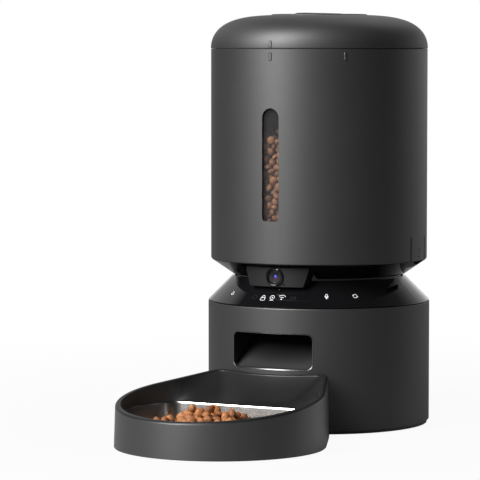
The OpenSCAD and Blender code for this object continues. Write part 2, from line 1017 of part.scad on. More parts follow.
vane_low_z = chamber_floor_z + 0.8;
vane_top_z = vane_low_z + vane_h;
module outlet_baffle() {
  z = chamber_floor_z + 29.6;
  color(white_abs) {
    arc_block(chamber_r - 0.2, 17, -outlet_deg - 9, outlet_deg + 9, z, z + 2);
    arc_block(chamber_r - 0.2, chamber_r - 2, -outlet_deg - 9, outlet_deg + 9, z + 1, z + 8);
  }
}

module baffle_lip() {
  z = chamber_floor_z + 29.6;
  color(rubber)
    for (s = [-1, 1])
      rotate(s * (outlet_deg + 7))
        translate([-1, -chamber_r + 3, z - 1.9])
          cube([2, chamber_r - 24, 1.9]);
}

module rotor() {
  tip = chamber_r - 8;
  color(white_abs)
    difference() {
      union() {
        ring(9, 0, chamber_floor_z - 2.6, chamber_floor_z + 0.4);
        ring(12, 0, chamber_floor_z + 0.3, vane_top_z + 1.4);
        for (k = [0 : vanes - 1])
          rotate(k * 360 / vanes + 180 / vanes)
            translate([-vane_t / 2, -tip, vane_low_z])
              cube([vane_t, tip - 10, vane_h]);
      }
      translate([0, 0, chamber_floor_z - 4])
        cylinder(h = 17.5, r = (drive_af + 2 * move_gap) / 2 / cos(30), $fn = 6);
    }
}

module rotor_tips() {
  tip = chamber_r - 8;
  color(rubber)
    for (k = [0 : vanes - 1])
      rotate(k * 360 / vanes + 180 / vanes)
        translate([-0.8, -chamber_r + 0.8, vane_low_z])
          cube([1.6, 7.2, vane_h - 0.5]);
}

module rotor_cap() {
  z = vane_top_z + 1.4;
  color(white_abs)
    turned([
      [0, z],
      [12, z],
      [12, z + 1.5],
      [10.5, z + 4],
      [4, z + 15],
      [2, z + 16.4],
      [0, z + 16.8]
    ]);
}

// The lid's curve: its powers across and up, and its radius at a height above the seam
lid_round = 4.85;
lid_up = 2.15;
function lid_out(h, grow) =
  let (
    rr = lid_r + grow,
    hh = lid_rise + grow,
    q = min(1, max(0, h / hh))
  )
  rr * pow(1 - pow(q, lid_up), 1 / lid_round);

function lid_height(r, grow) =
  (lid_rise + grow) * pow(1 - pow(r / (lid_r + grow), lid_round), 1 / lid_up);

dish_slope = 3;
bead_w = 1.4;
module lid_shell() {
  n = 26;
  edge_h = lid_height(dish_r + bead_w, 0);
  bead_z = seam_z + edge_h + dish_bead;
  in_edge = dish_r + lid_wall;
  in_h = lid_height(in_edge, -lid_wall);
  skirt_h = mouth_z - seam_z;
  outer = [
    for (k = [0 : n])
      let (h = edge_h * sin(90 * k / n))
      [lid_out(h, 0), seam_z + h]
  ];
  inner = [
    for (k = [n : -1 : 0])
      let (h = skirt_h + 1 + (in_h - skirt_h - 1) * sin(90 * k / n))
      [lid_out(h, -lid_wall), seam_z + h]
  ];
  color(body_grey)
    difference() {
      union() {
        turned(concat(
          [[lid_r - 0.3, lid_low_z], [lid_r, lid_low_z + 0.3]],
          [for (k = [1 : n]) outer[k]],
          [
            [dish_r + bead_w * 0.8, bead_z - dish_bead * 0.3],
            [dish_r + bead_w * 0.5, bead_z],
            [dish_r, bead_z],
            [dish_r - 0.5, bead_z - 0.5],
            [dish_r - dish_slope, dish_z + 2],
            [dish_r - dish_slope - 2, dish_z],
            [0, dish_z],
            [0, dish_z - lid_wall],
            [dish_r - dish_slope - 0.6, dish_z - lid_wall],
            [dish_r - dish_slope + lid_wall, dish_z + 1]
          ],
          inner,
          [[lid_r - lid_wall, seam_z + skirt_h], [lid_r - lid_wall, lid_low_z]]
        ));
        rotate(90)
          grip(grip_len, grip_w, dish_z - 1, grip_z, 3);
        for (k = [0 : 3])
          arc_block(
            lid_r - lid_wall + 0.5,
            mouth_r + move_gap,
            k * 90 + 45 - lug_deg / 2,
            k * 90 + 45 + lug_deg / 2,
            lid_low_z + 0.1,
            mouth_z - 3.2 - move_gap
          );
      }
      rotate(90)
        grip(grip_len - 2 * lid_wall, grip_w - 2 * lid_wall, dish_z - 6, grip_z - lid_wall, 1.5);
    }
}

// A bar with round ends and rounded top edges
module grip(len, w, z0, z1, r) {
  half = w / 2;
  side = concat(
    [[0, z0], [half, z0]],
    [for (a = [0 : 15 : 90]) [half - r + r * cos(a), z1 - r + r * sin(a)]],
    [[0, z1]]
  );
  both = concat(
    [[-half, z0], [half, z0]],
    [for (a = [0 : 15 : 90]) [half - r + r * cos(a), z1 - r + r * sin(a)]],
    [for (a = [90 : 15 : 180]) [-half + r + r * cos(a), z1 - r + r * sin(a)]]
  );
  along_x(len - w)
    polygon(both);
  for (s = [-1, 1])
    translate([s * (len - w) / 2, 0, 0])
      rotate_extrude()
        polygon(side);
}

liner_z = mouth_z + 2.2;
// Room between the seal and the lid that turns round it
seal_gap = 0.35;
module lid_seal() {
  color(rubber)
    ring(
      min(mouth_r - 0.1, lid_out(liner_z - seam_z, -lid_wall) - seal_gap),
      mouth_r - 2.6,
      mouth_z + 0.35,
      liner_z
    );
}

module lid_liner() {
  color(dark)
    difference() {
      union() {
        ring(lid_out(liner_z + 1.8 - seam_z, -lid_wall) - 0.2, 0, liner_z, liner_z + 1.8);
        ring(mouth_r - 3, mouth_r - 5, mouth_z - 7, liner_z + 0.5);
      }
      translate([0, 0, liner_z - 1])
        cylinder(h = 4, r = 26);
    }
}

module desiccant_box() {
  color(dark)
    difference() {
      ring(31, 0, liner_z - 18, liner_z - 0.05);
      ring(29, 0, liner_z - 19, liner_z - 2);
    }
}

module desiccant_cover() {
  z = liner_z - 19.6;
  color(white_abs)
    difference() {
      union() {
        ring(31, 0, z, z + 1.5);
        ring(28.7, 26.9, z, z + 5);
        translate([-2, -14, z - 3])
          cube([4, 28, 4]);
      }
      for (x = [-21 : 6 : 21])
        if (abs(x) > 2)
          let (h = sqrt(24.5 * 24.5 - x * x))
          translate([x - 1.2, -h, z - 1])
            cube([2.4, 2 * h, 4]);
    }
}

// The tray and the bowl are lofts: rings of points round the centre of the tray's round front
tray_c = -tray_y;
back_r = base_r + tray_gap;
angles = concat(
  [for (a = [0 : 4 : 24]) a],
  [for (a = [27 : 3 : 57]) a],
  [for (a = [59 : 1.5 : 68]) a],
  [for (a = [72 : 4 : 88]) a],
  [90],
  [for (a = [92 : 4 : 108]) a],
  [for (a = [112 : 1.5 : 121]) a],
  [for (a = [123 : 3 : 153]) a],
  [for (a = [156 : 4 : 356]) a]
);
ring_n = len(angles);

// The smaller of two distances, blended where they cross: a lower power rounds more
tray_corner = 14;
bowl_corner = 18;
function soft_min(a, b, power) = pow(pow(a, -power) + pow(b, -power), -1 / power);

// Distance from the centre to the tray's outline, moved inwards by o
function tray_out(a, o) =
  let (
    r = tray_r - o,
    t = tray_taper_deg,
    side = a > t && a <= 90 ? r / cos(a - t)
      : a > 90 && a < 180 - t ? r / cos(a - 180 + t)
      : r,
    b = tray_y * sin(a),
    c = b * b - tray_y * tray_y + (back_r + o) * (back_r + o),
    wall = c > 0 && b > 0 ? b - sqrt(c) : side + 99
  )
  soft_min(side, wall, tray_corner);

// Distance from the centre to the bowl's outline, moved inwards by o
function bowl_out(a, o) =
  let (
    r = bowl_r - o,
    s = sin(a),
    chord = s > 0.05 ? (bowl_back - o) / s : 9999
  )
  soft_min(r, chord, bowl_corner);

function at(a, d, z) = [d * cos(a), tray_c + d * sin(a), z];
function rim_z(y) =
  rim_front_z
  + (rim_back_z - rim_front_z) * (y + tray_y + tray_r) / (tray_y + tray_r - back_r);

// One point of the tray's rim, o in from the outline and drop below the rim
function rim_point(a, o, drop) =
  let (
    d = tray_out(a, o),
    y = tray_c + d * sin(a)
  )
  at(a, d, rim_z(y) - drop);

// A point of the slope between the rim's inner edge (f = 0) and the bowl's ledge (f = 1)
ledge_z = bowl_rim_z - steel_t - 0.3;
slope_low_z = bowl_rim_z - 0.5;
function slope_point(a, f, drop, o = 0) =
  let (
    d0 = tray_out(a, tray_lean + rim_w),
    d1 = min(d0 - 0.3, bowl_out(a, -0.6)) + o,
    d = d0 + (d1 - d0) * f,
    y0 = tray_c + d0 * sin(a),
    z0 = rim_z(y0) - rim_round * 0.6
  )
  at(a, d, slope_low_z + max(0.05, z0 - slope_low_z) * pow(1 - f, 1.7) - drop);

function flat(o, z) = [for (a = angles) at(a, bowl_out(a, o), z)];
tray_low_z = pad_h;
pocket_z = bowl_rim_z - bowl_depth - steel_t - 0.3;
pocket_o = bowl_flange + bowl_lean - steel_t + 0.2;
skin_lean = tray_lean + tray_t;
tray_rings = concat(
  [flat(pocket_o + 2 - tray_t, pocket_z - 1.8)],
  [flat(pocket_o - tray_t, pocket_z + bowl_foot_r)],
  [flat(bowl_flange - 0.6 - tray_t, ledge_z - tray_t)],
  [[for (a = angles) slope_point(a, 0.75, tray_t)]],
  [[for (a = angles) slope_point(a, 0.4, tray_t + 0.4)]],
  [[for (a = angles) slope_point(a, 0.1, tray_t + 0.6)]],
  [[for (a = angles) rim_point(a, skin_lean, rim_round + 2.6)]],
  [[for (a = angles) at(a, tray_out(a, tray_t), tray_low_z)]],
  [[for (a = angles) at(a, tray_out(a, 0.5), tray_low_z)]],
  [[for (a = angles) at(a, tray_out(a, 0), tray_low_z + 0.6)]],
  [
    for (k = [0 : 4])
      let (
        o = tray_lean + rim_round * (1 - cos(k * 22.5)),
        drop = rim_round * (1 - sin(k * 22.5))
      )
      [for (a = angles) rim_point(a, o, drop)]
  ],
  [[for (a = angles) rim_point(a, tray_lean + rim_w - rim_round * 0.5, 0)]],
  [[for (a = angles) rim_point(a, tray_lean + rim_w - rim_round * 0.15, rim_round * 0.2)]],
  [
    for (f = [0, 0.15, 0.3, 0.5, 0.7, 0.85, 1])
      [for (a = angles) slope_point(a, f, 0)]
  ],
  [flat(-0.3, ledge_z)],
  [flat(bowl_flange - 1.4, ledge_z)],
  [flat(bowl_flange - 0.6, ledge_z - 1)],
  [flat(pocket_o, pocket_z + bowl_foot_r)],
  [flat(pocket_o + 2, pocket_z)]
);

bowl_low_z = bowl_rim_z - bowl_depth;
function wall_ring(o, z) = flat(bowl_flange + o, z);

// One ring of the round between wall (a = 0) and floor (a = 90), grown outwards by the steel's thickness
function foot_ring(a, grow) = wall_ring(
  0.9 + bowl_lean + bowl_foot_r - (bowl_foot_r + grow) * cos(a),
  bowl_low_z + bowl_foot_r - (bowl_foot_r + grow) * sin(a)
);
bowl_rings = concat(
  [for (a = [90 : -22.5 : 0]) foot_ring(a, steel_t)],
  [wall_ring(0.9 - steel_t, bowl_rim_z - steel_t - 1.6)],
  [wall_ring(-0.6, bowl_rim_z - steel_t - 0.1)],
  [flat(0.3, bowl_rim_z - steel_t)],
  [flat(0, bowl_rim_z - steel_t * 0.6)],
  [flat(0.25, bowl_rim_z - steel_t * 0.15)],
  [flat(0.7, bowl_rim_z)],
  [wall_ring(-0.5, bowl_rim_z)],
  [wall_ring(0.2, bowl_rim_z - 0.3)],
  [wall_ring(0.9, bowl_rim_z - 1.6)],
  [for (a = [0 : 22.5 : 90]) foot_ring(a, 0)]
);

module loft(rings) {
  n = ring_n;
  m = len(rings);
  polyhedron(
    points = [for (k = [0 : m - 1], i = [0 : n - 1]) rings[k][i]],
    faces = concat(
      [[for (i = [0 : n - 1]) i]],
      [[for (i = [n - 1 : -1 : 0]) (m - 1) * n + i]],
      [
        for (k = [0 : m - 2], i = [0 : n - 1], h = [0, 1])
          let (j = (i + 1) % n)
          h == 0
            ? [k * n + i, (k + 1) * n + i, (k + 1) * n + j]
            : [k * n + i, (k + 1) * n + j, k * n + j]
      ]
    )
  );
}

module bowl_tray() {
  color(body_grey)
    loft(tray_rings);
}

module tray_clips() {
  color(body_grey)
    for (x = [-24, 24])
      intersection() {
        translate([x - 6, -back_r - 2, 12])
          cube([12, 13.5, 4]);
        cylinder(h = 20, r = back_r - 0.05);
      }
}

module tray_pads() {
  color(rubber)
    for (a = [-150, -90, -30])
      translate([cos(a) * (tray_r - 24), tray_c + sin(a) * (tray_r - 24), 0])
        cylinder(h = pocket_z - 1.85, r = 7);
}

module steel_bowl() {
  color(steel)
    loft(bowl_rings);
}

base_shell();
base_plate();
foot_ring();
base_screws();
control_panel();
touch_film();
tank_seat();
shaft_bush();
gear_head();
motor_can();
motor_screws();
output_shaft();
drive_coupling();
chute();
chute_sensors();
camera_pod();
pod_cover();
lens_bezel();
lens_glass();
lens_barrel();
camera_board();
main_board();
power_inlet();
speaker();
battery_box();
battery_contacts();
battery_cover();
cover_screw();
tank_shell();
window_pane();
tab_right();
tab_left();
tank_collar();
hopper();
chamber_floor();
outlet_baffle();
baffle_lip();
rotor();
rotor_tips();
rotor_cap();
lid_shell();
lid_seal();
lid_liner();
desiccant_box();
desiccant_cover();
bowl_tray();
tray_clips();
tray_pads();
steel_bowl();
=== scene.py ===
import json
import math

import bmesh
import bpy
import numpy as np
from mathutils import Euler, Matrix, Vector, noise


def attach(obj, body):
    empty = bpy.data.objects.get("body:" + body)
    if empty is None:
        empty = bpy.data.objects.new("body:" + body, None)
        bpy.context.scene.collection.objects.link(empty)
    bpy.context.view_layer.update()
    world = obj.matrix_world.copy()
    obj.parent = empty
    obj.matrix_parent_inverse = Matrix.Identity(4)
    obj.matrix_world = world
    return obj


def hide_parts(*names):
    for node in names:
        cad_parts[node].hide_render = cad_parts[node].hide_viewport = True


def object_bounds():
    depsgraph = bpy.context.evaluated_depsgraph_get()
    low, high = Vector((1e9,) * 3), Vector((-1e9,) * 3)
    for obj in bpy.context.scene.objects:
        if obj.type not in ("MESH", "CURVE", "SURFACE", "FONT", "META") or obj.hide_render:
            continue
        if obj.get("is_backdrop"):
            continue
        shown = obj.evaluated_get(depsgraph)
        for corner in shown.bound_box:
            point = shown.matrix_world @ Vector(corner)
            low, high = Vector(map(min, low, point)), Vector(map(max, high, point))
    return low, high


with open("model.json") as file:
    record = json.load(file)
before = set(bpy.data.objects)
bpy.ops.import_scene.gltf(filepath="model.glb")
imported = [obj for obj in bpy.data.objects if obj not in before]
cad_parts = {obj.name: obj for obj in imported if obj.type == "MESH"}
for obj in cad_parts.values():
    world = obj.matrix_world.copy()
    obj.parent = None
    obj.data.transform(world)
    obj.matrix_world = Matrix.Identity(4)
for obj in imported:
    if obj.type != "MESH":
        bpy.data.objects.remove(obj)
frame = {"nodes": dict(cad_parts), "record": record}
cad_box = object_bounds()
nodes = frame["nodes"]
scene = bpy.context.scene

# Sizes in metres, as in the part's source: front faces -Y, angles in degrees from the front towards +X
MM = 0.001
BASE_R = 0.095
PANEL_OUT_R = BASE_R
PANEL_LOW_Z = 0.1062
PANEL_RISE = 0.0212
WAIST_R = 0.074
TANK_R = 0.0927
TANK_IN_R = 0.0902
TANK_LOW_Z = 0.1418
TAB_ANGLE = 92.0
TAB_WIDTH = 0.0272
TAB_TOP_Z = 0.1628
WINDOW_LOW_Z = 0.178
SEAM_Z = 0.3215
LID_R = 0.0929
LID_RISE = 0.0288
POD_R = 0.0844
LENS_Z = 0.1311
CHUTE_W = 0.0745
CHUTE_LOW_Z = 0.0546
CHUTE_HIGH_Z = 0.0849
CHUTE_CORNER = 0.0055
BOWL_CENTRE_Y = -0.1812
BOWL_FLOOR_Z = 0.0059
BOWL_BACK_Y = -0.1415

# Powers of the lid's rounded side: how square its shoulder is, and how it leans in
LID_ROUND = 4.85
LID_UP = 2.15

# Marks laid on a surface: how deep they are sunk, and the longest step along their lines
SINK = 0.0001
FINE_STEP = 0.0007

# Places of the colour mixer's sockets: factor, first and second colour, and the result
MIX_SOCKETS = (0, 6, 7)
MIX_RESULT = 2


# Camera, as the photograph was taken: its place round the part, and how far it turns and dips from the axis
def set_camera():
    azimuth = math.radians(26.0)
    turn = math.radians(1.588)
    dip = math.radians(3.850)
    reach = 2.45
    height = 0.3219
    data = bpy.data.cameras.new("photo_camera")
    data.lens = 213.97
    data.sensor_width = 36.0
    data.clip_end = 100.0
    camera = bpy.data.objects.new("photo_camera", data)
    camera.location = (reach * math.sin(azimuth), -reach * math.cos(azimuth), height)
    camera.rotation_euler = (math.radians(90) - dip, 0.0, azimuth + turn)
    scene.collection.objects.link(camera)
    scene.camera = camera


# Node tools
def feed(tree, socket, value):
    if isinstance(value, bpy.types.NodeSocket):
        tree.links.new(value, socket)
    else:
        socket.default_value = value


def node(tree, kind, settings=None, **inputs):
    made = tree.nodes.new(kind)
    for key, value in (settings or {}).items():
        setattr(made, key, value)
    for key, value in inputs.items():
        feed(tree, made.inputs[key.replace("_", " ")], value)
    return made


def rgba(colour):
    return (colour[0], colour[1], colour[2], 1.0)


def grey(tone):
    return (tone, tone, tone)


def mix_colour(tree, factor, first, second):
    mixer = tree.nodes.new("ShaderNodeMix")
    mixer.data_type = "RGBA"
    for place, value in zip(MIX_SOCKETS, (factor, first, second)):
        feed(tree, mixer.inputs[place], rgba(value) if isinstance(value, tuple) else value)
    return mixer.outputs[MIX_RESULT]


def math_node(tree, operation, *values, clamp=False):
    made = tree.nodes.new("ShaderNodeMath")
    made.operation = operation
    made.use_clamp = clamp
    for socket, value in zip(made.inputs, values):
        feed(tree, socket, value)
    return made.outputs[0]


def remap(tree, value, low, high, to_low, to_high):
    made = node(tree, "ShaderNodeMapRange", Value=value, From_Min=low, From_Max=high,
                To_Min=to_low, To_Max=to_high)
    return made.outputs["Result"]


def towards(tree, facing, way):
    made = node(tree, "ShaderNodeVectorMath", {"operation": "DOT_PRODUCT"})
    tree.links.new(facing, made.inputs[0])
    made.inputs[1].default_value = way
    return made.outputs["Value"]


def object_place(tree):
    return node(tree, "ShaderNodeTexCoord").outputs["Object"]


# A shared effect: named numbers in and out, a texture scale from a size, and outputs spread over 0 to 1
def new_group(name, inputs, outputs):
    tree = bpy.data.node_groups.new(name, "ShaderNodeTree")
    for label, value in inputs.items():
        socket = tree.interface.new_socket(label, in_out="INPUT", socket_type="NodeSocketFloat")
        socket.default_value = value
    for label in outputs:
        tree.interface.new_socket(label, in_out="OUTPUT", socket_type="NodeSocketFloat")
    entry = tree.nodes.new("NodeGroupInput")
    leave = tree.nodes.new("NodeGroupOutput")

    def scale_of(label):
        return math_node(tree, "DIVIDE", 1.0, entry.outputs[label])

    def give(label, value, low, high):
        tree.links.new(remap(tree, value, low, high, 0.0, 1.0), leave.inputs[label])

    return tree, entry, scale_of, give


# Spark-eroded skin of a moulded casing: fine grain, and slow tone changes over the panel
def make_moulded_skin():
    tree, _, scale_of, give = new_group(
        "moulded_skin", {"Grain size": 0.0006, "Patch size": 0.03}, ("Grain", "Tone"))
    place = object_place(tree)
    grain = node(tree, "ShaderNodeTexNoise", Vector=place, Scale=scale_of("Grain size"),
                 Detail=2.0, Roughness=0.6)
    patches = node(tree, "ShaderNodeTexNoise", Vector=place, Scale=scale_of("Patch size"), Detail=3.0)
    give("Grain", grain.outputs[0], 0.25, 0.75)
    give("Tone", patches.outputs[0], 0.3, 0.7)
    return tree


# Fingertip film on polished faces, and a few specks of dust where the film is thick
def make_handled_gloss():
    tree, _, scale_of, give = new_group(
        "handled_gloss", {"Patch size": 0.02, "Speck size": 0.0012}, ("Film", "Speck"))
    place = object_place(tree)
    film = node(tree, "ShaderNodeTexNoise", Vector=place, Scale=scale_of("Patch size"),
                Detail=5.0, Distortion=0.6)
    cells = node(tree, "ShaderNodeTexVoronoi", Vector=place, Scale=scale_of("Speck size"))
    speck = remap(tree, cells.outputs["Distance"], 0.0, 0.09, 1.0, 0.0)
    thick = remap(tree, film.outputs[0], 0.55, 0.6, 0.0, 1.0)
    give("Film", film.outputs[0], 0.42, 0.68)
    give("Speck", math_node(tree, "MULTIPLY", speck, thick), 0.0, 1.0)
    return tree


# Fine lines left by drawing and polishing sheet metal, drawn out from side to side, and slow clouds
def make_drawn_lines():
    tree, entry, scale_of, give = new_group(
        "drawn_lines", {"Line pitch": 0.0008, "Stretch": 0.04}, ("Lines", "Cloud"))
    cloud_scale = 45.0
    place = object_place(tree)
    split = node(tree, "ShaderNodeSeparateXYZ", Vector=place)
    across = math_node(tree, "MULTIPLY", split.outputs["X"], entry.outputs["Stretch"])
    drawn = node(tree, "ShaderNodeCombineXYZ", X=across, Y=split.outputs["Y"], Z=split.outputs["Z"])
    lines = node(tree, "ShaderNodeTexNoise", Vector=drawn.outputs[0], Scale=scale_of("Line pitch"),
                 Detail=2.0)
    cloud = node(tree, "ShaderNodeTexNoise", Vector=place, Scale=cloud_scale, Detail=3.0)
    give("Lines", lines.outputs[0], 0.3, 0.7)
    give("Cloud", cloud.outputs[0], 0.3, 0.7)
    return tree


MOULDED_SKIN = make_moulded_skin()
HANDLED_GLOSS = make_handled_gloss()
DRAWN_LINES = make_drawn_lines()
SKIN_BUMP = 0.6
LINE_BUMP = 0.2


def use_group(tree, group, **inputs):
    made = tree.nodes.new("ShaderNodeGroup")
    made.node_tree = group
    for key, value in inputs.items():
        made.inputs[key.replace("_", " ")].default_value = value
    return made


def new_finish(name, colour, roughness, **sockets):
    finish = bpy.data.materials.new(name)
    finish.use_nodes = True
    tree = finish.node_tree
    tree.nodes.clear()
    shader = tree.nodes.new("ShaderNodeBsdfPrincipled")
    out = tree.nodes.new("ShaderNodeOutputMaterial")
    tree.links.new(shader.outputs[0], out.inputs["Surface"])
    shader.inputs["Base Color"].default_value = rgba(colour)
    shader.inputs["Roughness"].default_value = roughness
    for key, value in sockets.items():
        shader.inputs[key.replace("_", " ")].default_value = value
    finish.diffuse_color = rgba(colour)
    return finish, tree, shader


def bump(tree, shader, height, strength, distance):
    made = node(tree, "ShaderNodeBump", Strength=strength, Distance=distance, Height=height)
    tree.links.new(made.outputs[0], shader.inputs["Normal"])


# A moulded plastic or rubber: two close tones, grain in the gloss and in the relief
def moulded(name, dark, light, rough, grain, relief, **sockets):
    finish, tree, shader = new_finish(name, light, rough[1], **sockets)
    skin = use_group(tree, MOULDED_SKIN, Grain_size=grain)
    tree.links.new(mix_colour(tree, skin.outputs["Tone"], dark, light), shader.inputs["Base Color"])
    tree.links.new(remap(tree, skin.outputs["Grain"], 0.0, 1.0, *rough), shader.inputs["Roughness"])
    bump(tree, shader, skin.outputs["Grain"], SKIN_BUMP, relief)
    return finish


# A polished plastic or glass: thin film and dust change its gloss
def polished(name, colour, dusty, rough, **sockets):
    finish, tree, shader = new_finish(name, colour, rough[0], **sockets)
    film = use_group(tree, HANDLED_GLOSS)
    tree.links.new(mix_colour(tree, film.outputs["Speck"], colour, dusty), shader.inputs["Base Color"])
    tree.links.new(remap(tree, film.outputs["Film"], 0.0, 1.0, *rough), shader.inputs["Roughness"])
    return finish


# A sheet metal: drawn lines in gloss and relief, clouds in its tone
def drawn_metal(name, dark, light, rough, pitch, stretch=1.0, relief=0.000008, **sockets):
    finish, tree, shader = new_finish(name, light, rough[0], Metallic=1.0, **sockets)
    lines = use_group(tree, DRAWN_LINES, Line_pitch=pitch, Stretch=stretch)
    tree.links.new(mix_colour(tree, lines.outputs["Cloud"], dark, light), shader.inputs["Base Color"])
    tree.links.new(remap(tree, lines.outputs["Lines"], 0.0, 1.0, *rough), shader.inputs["Roughness"])
    bump(tree, shader, lines.outputs["Lines"], LINE_BUMP, relief)
    return finish


# The casing's finish, which its slot, the lid and the tray share in part
CASING_DARK = (0.0080, 0.0080, 0.0085)
CASING_LIGHT = (0.0100, 0.0100, 0.0105)
CASING_ROUGH = (0.45, 0.52)
CASING_GRAIN = 0.0006
CASING_RELIEF = 0.00003

# One finish for each material slot of the record
FINISH = {
    "body_grey": moulded("charcoal_casing", CASING_DARK, CASING_LIGHT, CASING_ROUGH, CASING_GRAIN,
                         CASING_RELIEF, Specular_IOR_Level=1.0),
    "gloss_black": polished("piano_black", (0.004, 0.004, 0.0045), grey(0.03), rough=(0.03, 0.07)),
    "black_plastic": moulded("satin_black", (0.010, 0.010, 0.011), (0.015, 0.015, 0.016),
                             rough=(0.30, 0.40), grain=0.0004, relief=0.00003),
    "white_plastic": moulded("rotor_white", (0.70, 0.70, 0.68), (0.76, 0.76, 0.74),
                             rough=(0.38, 0.48), grain=0.0008, relief=0.00003),
    "rubber_black": moulded("soft_rubber", grey(0.016), grey(0.024),
                            rough=(0.70, 0.85), grain=0.0005, relief=0.00006),
    "clear_window": polished("smoked_window", (0.09, 0.09, 0.095), grey(0.2),
                             rough=(0.03, 0.08), Alpha=0.15),
    "lens_coated": polished("lens_cover", (0.006, 0.006, 0.010), grey(0.03),
                            rough=(0.03, 0.05), Alpha=0.22),
    "stainless": drawn_metal("bowl_steel", (0.50, 0.482, 0.460), (0.58, 0.562, 0.540),
                             rough=(0.205, 0.213), pitch=0.0008, stretch=0.04, relief=0.000001,
                             Specular_Tint=(0.5, 0.5, 0.5, 1.0)),
    "plain_steel": drawn_metal("zinc_steel", grey(0.48), (0.58, 0.58, 0.57),
                               rough=(0.28, 0.40), pitch=0.0006),
    "brass": drawn_metal("bush_brass", (0.60, 0.43, 0.18), (0.68, 0.50, 0.22),
                         rough=(0.25, 0.35), pitch=0.0006),
    "board_green": moulded("board_lacquer", (0.02, 0.09, 0.05), (0.03, 0.12, 0.06),
                           rough=(0.25, 0.35), grain=0.0012, relief=0.00002),
    "film_amber": moulded("touch_film_amber", (0.42, 0.24, 0.05), (0.48, 0.28, 0.07),
                          rough=(0.20, 0.30), grain=0.002, relief=0.00001),
}

# Finishes of single pieces
LID_CASING = moulded("lid_casing", CASING_DARK, CASING_LIGHT, (0.51, 0.58), CASING_GRAIN,
                     CASING_RELIEF, Specular_IOR_Level=0.85)
POD_SATIN = moulded("pod_satin", (0.005, 0.005, 0.0055), (0.0065, 0.0065, 0.007),
                    rough=(0.42, 0.50), grain=0.0004, relief=0.00001, Specular_IOR_Level=0.33)
CHUTE_SATIN = moulded("chute_satin", (0.017, 0.017, 0.018), (0.021, 0.021, 0.022),
                      rough=(0.40, 0.48), grain=0.0005, relief=0.00002)
EDGE_SATIN = moulded("chute_edge_satin", (0.016, 0.016, 0.017), (0.020, 0.020, 0.021),
                     rough=(0.22, 0.28), grain=0.0005, relief=0.00001, Specular_IOR_Level=1.0)
BEZEL_BLACK = moulded("bezel_black", (0.004, 0.004, 0.0045), (0.006, 0.006, 0.0065),
                      rough=(0.24, 0.30), grain=0.0004, relief=0.00001)
LIP_GLOSS = polished("bezel_lip_gloss", (0.005, 0.005, 0.0055), grey(0.02), rough=(0.08, 0.12))
RING_GREY = moulded("lens_ring_grey", (0.016, 0.016, 0.018), (0.022, 0.022, 0.024),
                    rough=(0.40, 0.48), grain=0.0003, relief=0.00001)
MARK_WHITE = moulded("icon_white", grey(0.72), grey(0.82), rough=(0.45, 0.55), grain=0.0005,
                     relief=0.00001, Emission_Color=(1.0, 1.0, 1.0, 1.0), Emission_Strength=1.0)
MARK_DIM = moulded("icon_unlit", (0.012, 0.012, 0.013), (0.018, 0.018, 0.019),
                   rough=(0.30, 0.40), grain=0.0005, relief=0.00001)
# Near-black finish for painted shade: dark strokes, strips, discs and rings that stand in for the shade of
# grooves, slits, holes and gaps
PAINTED_SHADE_BLACK = moulded("groove_shadow", grey(0.006), grey(0.010),
                       rough=(0.60, 0.75), grain=0.0005, relief=0.00001)


# The tray's casing: faces that look up are rubbed smoother by food and wiping, and lose the outer coat
def make_tray_finish():
    dark = (0.0076, 0.0076, 0.0081)
    light = (0.0096, 0.0096, 0.0101)
    most_rubbed = 0.08
    finish, tree, shader = new_finish("tray_casing", light, CASING_ROUGH[1], Specular_IOR_Level=0.25,
                                      Coat_Roughness=0.42, Coat_IOR=1.85)
    skin = use_group(tree, MOULDED_SKIN, Grain_size=CASING_GRAIN)
    tree.links.new(mix_colour(tree, skin.outputs["Tone"], dark, light), shader.inputs["Base Color"])
    facing = node(tree, "ShaderNodeNewGeometry").outputs["Normal"]
    upward = node(tree, "ShaderNodeSeparateXYZ", Vector=facing).outputs["Z"]
    rubbed = remap(tree, upward, 0.15, 0.45, 0.0, most_rubbed)
    tree.links.new(remap(tree, rubbed, 0.0, most_rubbed, 1.0, 0.0), shader.inputs["Coat Weight"])
    rough = remap(tree, skin.outputs["Grain"], 0.0, 1.0, *CASING_ROUGH)
    tree.links.new(math_node(tree, "SUBTRACT", rough, rubbed), shader.inputs["Roughness"])
    bump(tree, shader, skin.outputs["Grain"], SKIN_BUMP, CASING_RELIEF)
    return finish


# Anti-reflection coat over the front element: its coloured reflection is painted into its colour, violet at
# its lower left and blue at its upper right, and the same colour glows faintly as painted light
def make_lens_painted_glint():
    violet = (0.30, 0.03, 0.42)
    blue = (0.04, 0.16, 0.95)
    reach = 0.0007
    # Painted light: the coat's colour is also given a faint emission
    finish, tree, shader = new_finish("lens_violet", (0.1, 0.1, 0.3), 0.08,
                                      Coat_Weight=1.0, Emission_Strength=0.3)
    split = node(tree, "ShaderNodeSeparateXYZ", Vector=object_place(tree))
    lean = math_node(tree, "ADD", split.outputs["X"], split.outputs["Z"])
    side = remap(tree, lean, LENS_Z - reach, LENS_Z + reach, 0.0, 1.0)
    colour = mix_colour(tree, side, violet, blue)
    tree.links.new(colour, shader.inputs["Base Color"])
    tree.links.new(colour, shader.inputs["Emission Color"])
    return finish


